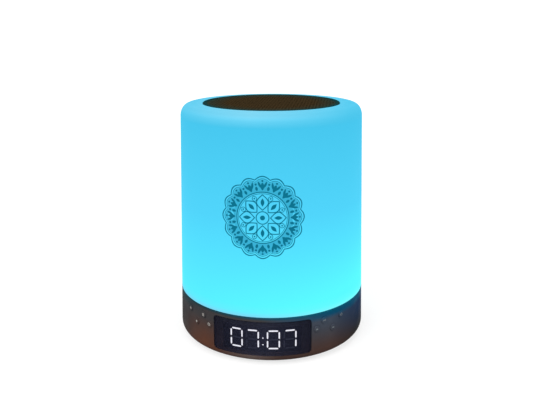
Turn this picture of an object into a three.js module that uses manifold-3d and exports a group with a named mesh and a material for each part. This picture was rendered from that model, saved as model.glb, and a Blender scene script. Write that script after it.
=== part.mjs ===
// Cordless speaker lamp: a moulded base with a clock, keys and sockets carries a
// glowing shade, and a loudspeaker on a column plays up through the grille in its crown.
// Millimetres, +Z up, origin on the floor under the middle, display facing -Y.

import * as THREE from "three";
import { mergeVertices } from "three/addons/utils/BufferGeometryUtils.js";
import Module from "manifold-3d";

const wasm = await Module();
wasm.setup();

// Whole body
const bodyHeight = 126.1;
const bodyRadius = 50.35;
const baseStep = 0.05;
const baseHeight = 25.1;
const fit = 0.3;
const overrun = 1;
const roundSides = 44;
const ringSides = 28;
const smallSides = 8;
const screwSides = 6;
const shoulderSteps = 4;
const innerShoulderSteps = 2;

// Shade and its crown
const shadeDraft = 1.95;
const shadeWall = 2;
const shoulderReach = 4.3;
const shoulderHeight = 6.2;
const crownBand = 7.5;
const crownRise = 0.4;
const crownDrop = 0.1;
const spigotWall = 1.2;
const spigotDepth = 2;
const spigotRoot = 2.4;
const beadProud = 0.25;
const beadHeight = 0.8;
const ledgeReach = 2;
const ledgeThickness = 2;

// Grille
const grilleThickness = 0.8;
const grilleRimDepth = 3;
const grilleBorder = 3.4;
const grilleRings = 4;
const grilleHoleRadius = 2.8;
const grilleHoleSides = 6;

// Base shell, its bottom cover and foot
const baseWall = 2.5;
const baseDraft = 0.45;
const baseFillet = 4.2;
const baseChamfer = 0.5;
const footProud = 1;
const footInset = 5;
const footWidth = 4.5;
const footHeight = 2;
const lipWidth = 4.6;
const lipThickness = 2.4;
const coverThickness = 2;
const bossInset = 4.5;
const bossRadius = 3.3;
const frontBossGap = 9;
const rearBossReach = 35.19;
const webThickness = 1.6;

// Screws
const screwRadius = 1.1;
const screwHeadRadius = 2.3;
const screwHeadHeight = 1.3;
const coverScrewLength = 9;
const deckScrewLength = 8;
const columnScrewLength = 5;
const driverScrewLength = 7;
const boardScrewLength = 4;

// Deck and light ring
const cellEndInset = 10.5;
const deckDrop = 0.8;
const deckHeadroom = 0.9;
const deckThickness = 1.8;
const deckEdgeGap = 0.5;
const wireHoleRadius = 6;
const lightBoardThickness = 1;
const lightBoardWidth = 11;
const lightBoardMargin = 1.7;
const lightCount = 12;
const lightInset = 3.4;
const lightSize = 3.2;
const lightHeight = 1.2;

// Display
const windowHalfWidth = 24.6;
const windowFootGap = 4;
const windowHeadGap = 2.6;
const windowCorner = 1.6;
const windowThickness = 1;
const displaySideGap = 5.1;
const displayMargin = 1.3;
const displayDepth = 8;
const displayBoardThickness = 1.2;
const displayTurn = 1.25;
const digitSideGap = 2.25;
const digitFootGap = 2.5;
const digitHeadGap = 4.55;
const digitWidth = 7;
const segmentWidth = 1.2;
const segmentGap = 0.2;
const colonRadius = 0.5;
const colonSpread = 3.6;
const colonDrop = 0.9;
const colonRoom = 1.04;
const lightWellDepth = 5;
const displayRibHalfWidth = 12;
const displayRibThickness = 1.5;

// Keys: rounded caps in two staggered rows that start at the window's edge
const keyRadius = 1.8;
const keyFlangeRadius = 2.3;
const keyFlangeThickness = 0.8;
const keyStemRadius = 0.9;
const keyProud = 0.5;
const keyTravel = 0.35;
const keySwitchGap = 0.1;
const keySwitchSize = 2.6;
const keySwitchHeight = 1.8;
const keyBoardThickness = 0.8;
const keyBoardMargin = 1.2;
const keyBackingThickness = 1.5;
const keyRowGap = 0.22;
const keyReach = 19.26;
const keyRowDrop = 5.4;
const keyPlaceShares = [
  { reach: 1, drop: 0.037 },
  { reach: 0.68, drop: 1 },
  { reach: 0.392, drop: 0 },
  { reach: 0.1685, drop: 0.722 },
];
const leftKeyNames = ["light_button", "alarm_button", "mode_button", "clock_button"];
const rightKeyNames = ["repeat_button", "next_button", "play_button", "previous_button"];

// Battery and its holder
const cellFloorGap = 0.3;
const cellShift = 2;
const cellTipRadius = 3;
const cellTipLength = 1.2;
const cellSides = 24;
const holderWall = 1.6;
const holderRailHeight = 6;
const holderEndHeight = 12;
const holderSlotWidth = 8;
const holderHalfWidth = 10;

// Main board and what it carries
const boardFloor = 7;
const boardThickness = 1.2;
const boardEdgeGap = 2.4;
const boardFrontGap = 1.6;
const boardPostRadius = 2.6;
const boardPostSpread = 15;
const boardPostShare = 0.244;
const rearPropInset = 5.5;
const portSetback = 1;
const usbSize = { reach: -1.76, width: 9, height: 3.2, depth: 7.4, lip: 0.4 };
const cardSize = { reach: 14.95, width: 13, height: 1.8, depth: 12, lip: 0.4 };
const auxSize = { reach: -14.95, width: 6.4, height: 5, depth: 11, bore: 1.75, nozzle: 2.4 };
const switchSize = { reach: -26.83, width: 8.6, height: 3.6, depth: 4 };
const knobWidth = 2.2;
const knobHeight = 1.4;
const knobProud = 0.6;
const knobTravel = 2;
const knobShoeWidth = 3.2;
const knobShoeHeight = 2;
const knobShoeDepth = 1.6;
const radioSize = { width: 13, height: 1.8 };
const radioGap = 0.5;
const chipSize = { width: 7, height: 1.2 };
const chipDepthShare = 0.31;

// Loudspeaker column
const columnWall = 2;
const columnFlangeReach = 5.6;
const columnFlangeThickness = 2;
const columnScrewAngles = [0, 135, -135];
const columnBossRadius = 2.6;
const collarWall = 1.6;
const collarHeadroom = 0.5;
const seatReach = 4;
const seatThickness = 1.6;
const baffleDepth = 10;
const baffleThickness = 2;
const driverBossRadius = 2.5;
const driverBossLength = 8;
const driverScrewGap = 1.7;
const driverScrewInset = 2.5;
const driverScrewAngles = [45, 135, -45, -135];

// Loudspeaker
const basketClearance = 0.9;
const basketThickness = 1;
const basketTaper = 3.8;
const basketDepth = 13;
const basketFlangeThickness = 1.2;
const basketWindowWidth = 14;
const basketWindowHeight = 6;
const spiderStepHeight = 2;
const spiderStepWidth = 2;
const poleShare = 0.4222;
const poleGap = 0.3;
const coilWall = 0.7;
const coilOverhang = 1.2;
const topPlateInset = 2.3;
const plateThickness = 3;
const magnetBoreGap = 1.6;
const magnetThickness = 7;
const coneThickness = 0.6;
const coneDepth = 8;
const coneRimWidth = 1.4;
const surroundThickness = 0.5;
const surroundRollRadius = 1.9;
const surroundLip = 1.8;
const dustCapRise = 2.6;
const dustCapThickness = 0.6;
const spiderThickness = 0.5;
const spiderWave = 0.6;
const driverSides = 16;
const rollSteps = 2;
const rollRest = 14;
const capSteps = 3;

// Touch contact between the collar and the grille
const leafWidth = 4;
const leafThickness = 0.4;
const leafFoot = 3;
const leafGap = 0.6;

// The turn in degrees of a length measured along the outside of the base
function turnAlong(length) {
  return THREE.MathUtils.radToDeg(length / baseRadius);
}

// The outside radius of the base, which widens a little from its top edge down to its foot
function wallRadius(height) {
  const top = baseHeight - baseChamfer;
  const foot = footProud + baseFillet;
  return baseRadius + baseDraft * (top - height) / (top - foot);
}

// Places that follow from the sizes above
const baseRadius = bodyRadius + baseStep;
const baseInnerRadius = baseRadius - baseWall;
const spigotOuterRadius = baseInnerRadius - fit;
const spigotInnerRadius = spigotOuterRadius - spigotWall;
const crownHeight = bodyHeight - crownDrop;
const shadeTopRadius = bodyRadius - shadeDraft;
const grilleRadius = shadeTopRadius - shoulderReach - crownBand;
const rebateRadius = grilleRadius + fit;
const ledgeTop = bodyHeight - grilleRimDepth;
const ledgeUnder = ledgeTop - ledgeThickness;
const ledgeInnerRadius = rebateRadius - ledgeReach;
const coverTop = footProud + coverThickness;
const lipInnerRadius = baseInnerRadius - lipWidth;
const coverRadius = lipInnerRadius - fit;
const bossCircle = coverRadius - bossInset;
const footOuterRadius = bossCircle - footInset;
const footInnerRadius = footOuterRadius - footWidth;
const deckTop = baseHeight - deckDrop;
const deckUnder = deckTop - deckThickness;
const cellRadius = (deckUnder - deckHeadroom - coverTop - cellFloorGap) / 2;
const cellHeight = coverTop + cellFloorGap + cellRadius;
const deckRadius = spigotInnerRadius - deckEdgeGap;
const lightTop = deckTop + lightBoardThickness;
const lightOuterRadius = deckRadius - lightBoardMargin;
const lightInnerRadius = lightOuterRadius - lightBoardWidth;
const lightCircle = lightOuterRadius - lightInset;
const boardTop = boardFloor + boardThickness;
const windowBottom = footProud + windowFootGap;
const windowTop = baseHeight - windowHeadGap;
const digitBottom = windowBottom + digitFootGap;
const digitHeight = windowTop - digitHeadGap - digitBottom;
const displayFront = baseRadius - windowThickness - 2 * fit;
const displayBack = displayFront - displayDepth;
const displayHalfWidth = windowHalfWidth - displaySideGap;
const digitSpacing = (2 * displayHalfWidth - digitWidth - 2 * digitSideGap - colonRoom) / 3;
const digitTurns = [-1.5, -0.5, 0.5, 1.5].map((step) => {
  const reach = step * digitSpacing + Math.sign(step) * colonRoom / 2;
  return displayTurn + THREE.MathUtils.radToDeg(reach / displayFront);
});
const displayBottom = digitBottom - displayMargin;
const displayTop = digitBottom + digitHeight + displayMargin;
const keyRow = baseHeight - spigotDepth - keyFlangeRadius - keyRowGap;
const keyFlangeFront = baseInnerRadius - fit - keyFlangeRadius ** 2 / (2 * baseInnerRadius);
const keySwitchFace = keyFlangeFront - keyFlangeThickness - 2 * keyTravel - keySwitchGap;
const keyBoardFace = keySwitchFace - keySwitchHeight;
const windowEdgeTurn = THREE.MathUtils.radToDeg(Math.asin(windowHalfWidth / baseRadius));
const keyPlaces = keyPlaceShares.map((share) => ({
  turn: windowEdgeTurn + turnAlong(keyReach * share.reach),
  drop: keyRowDrop * share.drop,
}));
const keyTurns = keyPlaces.map((spot) => spot.turn);
const keyBoardSpan = THREE.MathUtils.radToDeg((keySwitchSize / 2 + keyBoardMargin) / keyBoardFace);
const keyBoardFrom = Math.min(...keyTurns) - keyBoardSpan;
const keyBoardTo = Math.max(...keyTurns) + keyBoardSpan;
const frontBossTurn = keyBoardTo + turnAlong(frontBossGap);
const rearBossTurn = 180 - turnAlong(rearBossReach);
const bossAngles = [frontBossTurn, rearBossTurn, -frontBossTurn, -rearBossTurn];
const baffleTop = bodyHeight - baffleDepth;
const baffleUnder = baffleTop - baffleThickness;
const columnFlangeRadius = lightInnerRadius - 2 * fit;
const columnOuterRadius = columnFlangeRadius - columnFlangeReach;
const columnInnerRadius = columnOuterRadius - columnWall;
const columnScrewCircle = columnOuterRadius + columnFlangeReach / 2;
const collarRadius = ledgeInnerRadius - fit;
const collarTop = bodyHeight - grilleThickness - collarHeadroom;
const basketRadius = columnInnerRadius - basketClearance;
const basketFloorRadius = basketRadius - basketTaper;
const driverScrewCircle = basketRadius + driverBossRadius + driverScrewGap;
const basketFlangeRadius = driverScrewCircle + driverScrewInset;
const topPlateRadius = basketFloorRadius - topPlateInset;
const magnetRadius = basketFloorRadius - fit;
const poleRadius = topPlateRadius * poleShare;
const screwHoleRadius = screwRadius + fit;

// Solids: closed meshes with shared corners, joined and cut where they need it
function weld(geometry) {
  const plain = geometry.index ? geometry.toNonIndexed() : geometry.clone();
  for (const name of Object.keys(plain.attributes)) {
    if (name !== "position") plain.deleteAttribute(name);
  }
  const merged = mergeVertices(plain);
  const kept = [];
  const index = merged.index.array;
  for (let i = 0; i < index.length; i += 3) {
    const [a, b, c] = [index[i], index[i + 1], index[i + 2]];
    if (a !== b && b !== c && c !== a) kept.push(a, b, c);
  }
  merged.setIndex(kept);
  return merged;
}

function solid(geometry) {
  const merged = weld(geometry);
  return new wasm.Manifold(new wasm.Mesh({
    numProp: 3,
    vertProperties: Float32Array.from(merged.attributes.position.array),
    triVerts: Uint32Array.from(merged.index.array),
  }));
}

function surface(body) {
  const mesh = body.getMesh();
  const geometry = new THREE.BufferGeometry();
  geometry.setAttribute("position", new THREE.BufferAttribute(mesh.vertProperties, 3));
  geometry.setIndex(new THREE.BufferAttribute(mesh.triVerts, 1));
  return geometry;
}

function cut(body, tools) {
  return tools.reduce((rest, tool) => rest.subtract(tool), body);
}

function join(bodies) {
  return bodies.reduce((whole, next) => whole.add(next));
}

// A closed outline of [radius, height] pairs spun about Z, outer side listed upwards
function revolve(outline, sides = roundSides) {
  const points = outline.map(([r, z]) => new THREE.Vector2(r, z));
  const first = points[0];
  const last = points[points.length - 1];
  if (first.x > 0 || last.x > 0) points.push(first.clone());
  return solid(new THREE.LatheGeometry(points, sides).rotateX(Math.PI / 2));
}

function tube(inner, outer, bottom, top, sides = roundSides) {
  return revolve([[inner, bottom], [outer, bottom], [outer, top], [inner, top]], sides);
}

function rod(radius, bottom, top, sides = smallSides) {
  return revolve([[0, bottom], [radius, bottom], [radius, top], [0, top]], sides);
}

function block(x0, x1, y0, y1, z0, z1) {
  const geometry = new THREE.BoxGeometry(x1 - x0, y1 - y0, z1 - z0);
  return solid(geometry.translate((x0 + x1) / 2, (y0 + y1) / 2, (z0 + z1) / 2));
}

function rise(shape, bottom, top, steps = 12) {
  const geometry = new THREE.ExtrudeGeometry(shape, {
    depth: top - bottom,
    bevelEnabled: false,
    curveSegments: steps,
  });
  return solid(geometry.translate(0, 0, bottom));
}

// A wall that follows the round of the base between two turns, in degrees from the front
function arcWall(inner, outer, from, to, bottom, top, steps = 10) {
  const start = THREE.MathUtils.degToRad(from - 90);
  const end = THREE.MathUtils.degToRad(to - 90);
  const shape = new THREE.Shape();
  shape.absarc(0, 0, outer, start, end, false);
  shape.absarc(0, 0, inner, end, start, true);
  return rise(shape, bottom, top, steps);
}

// Moves a body made about Z to a place on a circle, turn degrees from the front
function around(body, turn, circle) {
  const angle = THREE.MathUtils.degToRad(turn);
  return body.translate(circle * Math.sin(angle), -circle * Math.cos(angle), 0);
}

// Turns a body that faces -Y to face outwards, turn degrees from the front
function facing(body, turn) {
  return body.rotate(0, 0, turn);
}

function quarterArc(centreR, centreZ, reachR, reachZ, from, to, steps) {
  const points = [];
  for (let i = 0; i <= steps; i += 1) {
    const angle = THREE.MathUtils.degToRad(from + (to - from) * i / steps);
    points.push([centreR + reachR * Math.cos(angle), centreZ + reachZ * Math.sin(angle)]);
  }
  return points;
}

function finish(color, roughness, metalness = 0) {
  return new THREE.MeshStandardMaterial({ color, roughness, metalness });
}

const group = new THREE.Group();

function place(name, body, material, parent = group) {
  const mesh = new THREE.Mesh(surface(body), material);
  mesh.name = name;
  parent.add(mesh);
  return mesh;
}

// A screw with its seat at height zero, head above it and shank below
function screwBody(length, headRadius = screwHeadRadius) {
  return revolve([
    [0, -length],
    [screwRadius, -length + screwRadius],
    [screwRadius, 0],
    [headRadius, 0],
    [headRadius / 2, screwHeadHeight],
    [0, screwHeadHeight],
  ], screwSides);
}

const steel = () => finish(0x9a9ca0, 0.35, 0.9);
const boardGreen = () => finish(0x1f5a34, 0.6);
const darkPlastic = () => finish(0x3e3834, 0.42);

function placeScrew(name, body, turn, circle, height, parent, upsideDown = false) {
  const mesh = place(name, body, steel(), parent);
  const angle = THREE.MathUtils.degToRad(turn);
  mesh.position.set(circle * Math.sin(angle), -circle * Math.cos(angle), height);
  if (upsideDown) mesh.rotation.x = Math.PI;
  return mesh;
}

// Base shell: rounded foot edge, lip for the cover, screw bosses on webs
const base = new THREE.Group();
group.add(base);

const beadMiddle = baseHeight - spigotDepth / 2;
const beadHalf = beadHeight / 2;

function baseOutline() {
  const foot = quarterArc(baseRadius + baseDraft - baseFillet, footProud + baseFillet,
    baseFillet, baseFillet, -90, 0, shoulderSteps);
  return [...foot, [baseRadius, baseHeight - baseChamfer], [baseRadius - baseChamfer, baseHeight]];
}

function shellBlank() {
  const grooveHalf = beadHalf + fit;
  return revolve([
    [lipInnerRadius, footProud],
    ...baseOutline(),
    [baseInnerRadius, baseHeight],
    [baseInnerRadius, beadMiddle + grooveHalf],
    [baseInnerRadius + beadProud, beadMiddle],
    [baseInnerRadius, beadMiddle - grooveHalf],
    [baseInnerRadius, footProud + lipThickness + baseFillet / 2],
    [baseInnerRadius - baseFillet / 2, footProud + lipThickness],
    [lipInnerRadius, footProud + lipThickness],
  ]);
}

function shellBoss(turn) {
  const bottom = coverTop + fit;
  const webInner = bossCircle + bossRadius / 2;
  const post = around(rod(bossRadius, bottom, deckUnder), turn, bossCircle);
  const webTop = baseHeight - spigotDepth - fit - beadHeight;
  const web = block(-webThickness / 2, webThickness / 2, -(baseInnerRadius + baseWall / 2), -webInner,
    bottom, Math.min(webTop, deckUnder - fit));
  return post.add(facing(web, turn));
}

function shellBossBore(turn) {
  const lower = rod(screwHoleRadius, footProud, coverTop + coverScrewLength, screwSides);
  const upper = rod(screwHoleRadius, deckUnder - deckScrewLength, deckUnder + overrun, screwSides);
  return around(lower.add(upper), turn, bossCircle);
}

// Display window: a smoked lens let into the front of the shell, following its curve
function windowPrism(grow) {
  const halfWidth = windowHalfWidth + grow;
  const bottom = windowBottom - grow;
  const top = windowTop + grow;
  const corner = windowCorner + grow;
  const shape = new THREE.Shape();
  shape.moveTo(-halfWidth + corner, bottom);
  shape.lineTo(halfWidth - corner, bottom);
  shape.absarc(halfWidth - corner, bottom + corner, corner, -Math.PI / 2, 0, false);
  shape.absarc(halfWidth - corner, top - corner, corner, 0, Math.PI / 2, false);
  shape.absarc(-halfWidth + corner, top - corner, corner, Math.PI / 2, Math.PI, false);
  shape.absarc(-halfWidth + corner, bottom + corner, corner, Math.PI, 1.5 * Math.PI, false);
  return rise(shape, 0, baseRadius + overrun, 3).rotate(90, 0, 0);
}

function windowBlank(depth, proud) {
  const outer = [];
  const inner = [];
  for (const [r, z] of baseOutline()) {
    const height = footProud + baseFillet;
    const slope = z < height ? Math.acos(Math.min(1, (height - z) / baseFillet)) : Math.PI / 2;
    outer.push([r + proud * Math.sin(slope), z - proud * Math.cos(slope)]);
    inner.push([r - depth * Math.sin(slope), z + depth * Math.cos(slope)]);
  }
  inner[inner.length - 1][0] = inner[inner.length - 2][0];
  return revolve([...outer, ...inner.reverse()]);
}

const lens = windowBlank(windowThickness, 0).intersect(windowPrism(0));
const lensPocket = windowBlank(windowThickness + fit, overrun).intersect(windowPrism(fit));
const aperture = block(-displayHalfWidth - fit, displayHalfWidth + fit,
  -baseRadius, -displayBack, displayBottom - fit, displayTop + fit);

// Keys: round caps that slide in the shell and press small switches behind it
function keyBody(height) {
  const tip = wallRadius(height) + keyProud;
  return revolve([
    [0, keySwitchFace + keyTravel + keySwitchGap],
    [keyStemRadius, keySwitchFace + keyTravel + keySwitchGap],
    [keyStemRadius, keyFlangeFront - keyFlangeThickness],
    [keyFlangeRadius, keyFlangeFront - keyFlangeThickness],
    [keyFlangeRadius, keyFlangeFront],
    [keyRadius, keyFlangeFront],
    [keyRadius, tip - keyProud / 2],
    [keyRadius - keyProud / 2, tip],
    [0, tip],
  ], smallSides).rotate(90, 0, 0);
}

function keyHole() {
  return rod(keyRadius + fit, baseInnerRadius - overrun, baseRadius + overrun).rotate(90, 0, 0);
}

function keyPlace(side, spot) {
  return { turn: side * spot.turn, height: keyRow - spot.drop };
}

// Openings at the back for the sockets and the slide switch
function portTurn(size) {
  return 180 + turnAlong(size.reach);
}

function mouth(size, bottom) {
  const body = block(-size.width / 2 - fit, size.width / 2 + fit,
    -(baseRadius + overrun), -(baseInnerRadius - baseWall), bottom - fit, bottom + size.height + fit);
  return facing(body, portTurn(size));
}

const auxHeight = boardTop + auxSize.height / 2;
const auxMouth = facing(rod(auxSize.nozzle + fit, baseInnerRadius - overrun, baseRadius + overrun)
  .rotate(90, 0, 0).translate(0, 0, auxHeight), portTurn(auxSize));
const knobHeightMiddle = boardTop + switchSize.height / 2;
const knobSlotWidth = knobWidth + knobTravel + 2 * fit;
const knobSlotBox = block(-knobSlotWidth / 2, knobSlotWidth / 2,
  -(baseRadius + overrun), -(baseInnerRadius - baseWall),
  knobHeightMiddle - knobHeight / 2 - fit, knobHeightMiddle + knobHeight / 2 + fit);
const knobSlot = facing(knobSlotBox, portTurn(switchSize));

const shellHoles = [lensPocket, aperture, mouth(usbSize, boardTop), mouth(cardSize, boardTop),
  auxMouth, knobSlot];
for (const turn of bossAngles) shellHoles.push(shellBossBore(turn));
for (const side of [-1, 1]) {
  for (const spot of keyPlaces) {
    const { turn, height } = keyPlace(side, spot);
    shellHoles.push(facing(keyHole().translate(0, 0, height), turn));
  }
}
const shellSolid = join([shellBlank(), ...bossAngles.map(shellBoss)]);
place("base_shell", cut(shellSolid, shellHoles), darkPlastic(), base);
place("display_window", lens, finish(0x14131c, 0.12), base);

// Bottom cover with its foot ring, countersunk screws and board posts
const holderBack = cellShift + holderHalfWidth;
const boardFront = holderBack + boardFrontGap;
const portFace = baseRadius - portSetback - baseWall / 2;
const boardReach = portFace - cardSize.depth - boardFront;
const boardPostY = boardFront + boardReach * boardPostShare;
const boardPostPlaces = [-boardPostSpread, boardPostSpread];
const rearPropY = baseInnerRadius - boardEdgeGap - rearPropInset;
const coverBlank = rod(coverRadius, footProud, coverTop, roundSides);
const coverPosts = boardPostPlaces.map((x) => rod(boardPostRadius, coverTop - overrun, boardFloor)
  .translate(x, boardPostY, 0));
const rearProp = block(-boardPostSpread / 2, boardPostSpread / 2, rearPropY - webThickness, rearPropY,
  coverTop - overrun, boardFloor);
const footGroove = tube(footInnerRadius - fit, footOuterRadius + fit, footProud - overrun,
  footHeight, ringSides);
const coverBores = bossAngles.map((turn) => around(
  rod(screwHeadRadius + fit, footProud - overrun, footProud + screwHeadHeight)
    .add(rod(screwHoleRadius, footProud, coverTop + overrun)), turn, bossCircle));
const postBores = boardPostPlaces.map((x) => rod(screwHoleRadius, boardFloor - boardScrewLength,
  boardFloor + overrun, screwSides).translate(x, boardPostY, 0));
place("bottom_cover", cut(join([coverBlank, ...coverPosts, rearProp]),
  [footGroove, ...coverBores, ...postBores]), darkPlastic(), base);

const footChamfer = footProud / 2;
place("foot_ring", revolve([
  [footInnerRadius + footChamfer, 0],
  [footOuterRadius - footChamfer, 0],
  [footOuterRadius, footChamfer],
  [footOuterRadius, footHeight],
  [footInnerRadius, footHeight],
  [footInnerRadius, footChamfer],
], ringSides), finish(0x1c1c1e, 0.9), base);

bossAngles.forEach((turn, i) => {
  placeScrew(`cover_screw_${i + 1}`, screwBody(coverScrewLength), turn, bossCircle,
    footProud + screwHeadHeight, base, true);
});

// Deck: white reflector floor with pillars for the column and backing ribs for keys and display
const columnBoss = (turn) => around(rod(columnBossRadius, deckUnder - columnScrewLength, deckTop),
  turn, columnScrewCircle);
const keyDrops = keyPlaces.map((spot) => spot.drop);
const keyBoardBottom = keyRow - Math.max(...keyDrops) - keySwitchSize / 2 - keyBoardMargin;
const keyBoardTop = deckUnder - fit;
const keyBoardBack = keyBoardFace - keyBoardThickness;
const displayBoardBack = displayBack - displayBoardThickness;
const backingTop = deckUnder + deckThickness / 2;
const keyBacking = (side) => arcWall(keyBoardBack - fit - keyBackingThickness, keyBoardBack - fit,
  Math.min(side * keyBoardFrom, side * keyBoardTo), Math.max(side * keyBoardFrom, side * keyBoardTo),
  keyBoardBottom, backingTop);
const displayRib = block(-displayRibHalfWidth, displayRibHalfWidth,
  -(displayBoardBack - fit), -(displayBoardBack - fit - displayRibThickness), displayBottom, backingTop);
const deckDisc = rod(deckRadius, deckUnder, deckTop, roundSides);
const deckBores = [rod(wireHoleRadius, deckUnder - overrun, deckTop + overrun)];
for (const turn of bossAngles) {
  deckBores.push(around(rod(screwHoleRadius, deckUnder - overrun, deckTop + overrun), turn, bossCircle));
}
for (const turn of columnScrewAngles) {
  deckBores.push(around(rod(screwHoleRadius, deckUnder - columnScrewLength - overrun,
    deckTop + overrun, screwSides), turn, columnScrewCircle));
}
place("base_deck", cut(join([deckDisc, ...columnScrewAngles.map(columnBoss), keyBacking(-1),
  keyBacking(1), displayRib]), deckBores), finish(0xf2f2ee, 0.5), base);

// Light ring: a flat board with coloured lights, held by the deck screws
const lights = [];
for (let i = 0; i < lightCount; i += 1) {
  const half = lightSize / 2;
  const body = block(-half, half, -lightCircle - half, -lightCircle + half, deckTop, lightTop + lightHeight);
  lights.push(facing(body, i * 360 / lightCount));
}
const lightRing = join([tube(lightInnerRadius, lightOuterRadius, deckTop, lightTop, ringSides),
  ...lights]);
const lightBores = bossAngles.map((turn) => around(rod(screwHoleRadius, deckUnder, lightTop + overrun)
  .add(rod(screwHeadRadius + fit, lightTop, lightTop + lightHeight + overrun)), turn, bossCircle));
place("led_board", cut(lightRing, lightBores), finish(0xe8ecec, 0.5), base);
bossAngles.forEach((turn, i) => {
  placeScrew(`deck_screw_${i + 1}`, screwBody(deckScrewLength), turn, bossCircle, lightTop, base);
});

// Clock display: a block with a light well for each segment, and its board
function segmentPrism(length) {
  const half = segmentWidth / 2;
  const shape = new THREE.Shape();
  shape.moveTo(-length / 2, 0);
  shape.lineTo(-length / 2 + half, -half);
  shape.lineTo(length / 2 - half, -half);
  shape.lineTo(length / 2, 0);
  shape.lineTo(length / 2 - half, half);
  shape.lineTo(-length / 2 + half, half);
  shape.closePath();
  return rise(shape, displayFront - lightWellDepth, baseRadius, 1);
}

function digitWells(turn) {
  const across = digitWidth - segmentWidth;
  const up = (digitHeight - segmentWidth) / 2;
  const level = segmentPrism(across - 2 * segmentGap).rotate(90, 0, 0);
  const upright = segmentPrism(up - 2 * segmentGap).rotate(0, 0, 90).rotate(90, 0, 0);
  const middle = digitBottom + digitHeight / 2;
  const wells = [-1, 0, 1].map((row) => level.translate(0, 0, middle + row * up));
  for (const side of [-1, 1]) {
    for (const row of [-1, 1]) {
      wells.push(upright.translate(side * across / 2, 0, middle + row * up / 2));
    }
  }
  return wells.map((well) => facing(well, turn));
}

const displayBlock = block(-displayHalfWidth, displayHalfWidth, -displayFront, -displayBack,
  displayBottom, displayTop).intersect(rod(displayFront, 0, baseHeight, roundSides));
const wells = digitTurns.flatMap(digitWells);
for (const side of [-1, 1]) {
  const dot = rod(colonRadius, displayFront - lightWellDepth, baseRadius, screwSides).rotate(90, 0, 0);
  const height = digitBottom + digitHeight / 2 - colonDrop + side * colonSpread / 2;
  wells.push(facing(dot.translate(0, 0, height), displayTurn));
}
place("display_reflector", cut(displayBlock, wells), finish(0x17171b, 0.6), base);
place("display_board", block(-displayHalfWidth, displayHalfWidth, -displayBack, -displayBoardBack,
  displayBottom - displayMargin / 2, displayTop + displayMargin / 2), boardGreen(), base);

// Key boards: bent strips with a switch behind each key
for (const [side, names, boardName] of [[-1, leftKeyNames, "key_board_left"],
  [1, rightKeyNames, "key_board_right"]]) {
  const strip = arcWall(keyBoardBack, keyBoardFace,
    Math.min(side * keyBoardFrom, side * keyBoardTo), Math.max(side * keyBoardFrom, side * keyBoardTo),
    keyBoardBottom, keyBoardTop);
  const half = keySwitchSize / 2;
  const switches = keyPlaces.map((spot) => {
    const { turn, height } = keyPlace(side, spot);
    return facing(block(-half, half, -keySwitchFace, -(keyBoardFace - keyBoardThickness / 2),
      height - half, height + half), turn);
  });
  place(boardName, join([strip, ...switches]), boardGreen(), base);
  keyPlaces.forEach((spot, i) => {
    const { turn, height } = keyPlace(side, spot);
    const key = place(names[i], keyBody(height), darkPlastic(), base);
    key.position.z = height;
    key.rotation.z = THREE.MathUtils.degToRad(turn);
  });
}

// Battery: one round cell in an open holder with contact ends
const power = new THREE.Group();
power.position.set(0, cellShift, 0);
group.add(power);
const cellHalf = coverRadius - cellEndInset;
const cell = revolve([
  [0, -cellHalf],
  [cellRadius, -cellHalf],
  [cellRadius, cellHalf - cellTipLength],
  [cellTipRadius, cellHalf - cellTipLength],
  [cellTipRadius, cellHalf],
  [0, cellHalf],
], cellSides).rotate(0, 90, 0).translate(0, 0, cellHeight);
place("battery_cell", cell, finish(0x2b6fb5, 0.45), power);

const holderInner = cellHalf + fit;
const holderOuter = holderInner + holderWall;
const holderFloor = block(-holderOuter, holderOuter, -holderHalfWidth, holderHalfWidth,
  coverTop, coverTop + holderRailHeight);
const holderEnds = [-1, 1].map((side) => block(
  Math.min(side * holderInner, side * holderOuter), Math.max(side * holderInner, side * holderOuter),
  -holderHalfWidth, holderHalfWidth, coverTop, coverTop + holderEndHeight));
const cellTrough = rod(cellRadius + fit, -holderInner, holderInner, cellSides).rotate(0, 90, 0)
  .translate(0, 0, cellHeight);
const holderSlot = block(-holderInner, holderInner, -holderSlotWidth / 2, holderSlotWidth / 2,
  coverTop - overrun, cellHeight);
place("battery_holder", cut(join([holderFloor, ...holderEnds]), [cellTrough, holderSlot]),
  finish(0x1d1d20, 0.7), power);

// Main board at the back, with its chips, radio module, sockets and slide switch
const boardRadius = baseInnerRadius - boardEdgeGap;
const boardDisc = rod(boardRadius, boardFloor, boardTop, roundSides);
const boardArea = block(-baseRadius, baseRadius, boardFront, baseRadius, 0, baseHeight);
const bossSlots = bossAngles.map((turn) => {
  const half = bossRadius + fit * 2;
  const slot = block(-half, half, -baseRadius, -bossCircle, 0, baseHeight);
  return facing(slot, turn).add(around(rod(half, 0, baseHeight), turn, bossCircle));
});
const chipFloor = boardTop - boardThickness / 2;
const chipFront = boardPostY + boardPostRadius + fit;
const chips = [-1, 1].map((side) => block(side * boardPostSpread / 2 - chipSize.width / 2,
  side * boardPostSpread / 2 + chipSize.width / 2, chipFront,
  chipFront + boardReach * chipDepthShare, chipFloor, boardTop + chipSize.height));
const boardBores = boardPostPlaces.map((x) => rod(screwHoleRadius, boardFloor - overrun,
  boardTop + overrun, screwSides).translate(x, boardPostY, 0));
place("main_board", cut(join([boardDisc.intersect(boardArea), ...chips]), [...bossSlots, ...boardBores]),
  boardGreen(), base);
boardPostPlaces.forEach((x, i) => {
  const screw = place(`board_screw_${i + 1}`, screwBody(boardScrewLength - fit), steel(), base);
  screw.position.set(x, boardPostY, boardTop);
});
const radioBody = block(-radioSize.width / 2, radioSize.width / 2,
  boardFront + fit, chipFront - radioGap, boardTop, boardTop + radioSize.height);
place("radio_module", radioBody, finish(0x2a4f8a, 0.5), base);

// Sockets face outwards at the back edge of the board
function socketGroup(size) {
  const holder = new THREE.Group();
  holder.rotation.z = THREE.MathUtils.degToRad(portTurn(size));
  base.add(holder);
  return holder;
}

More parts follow.
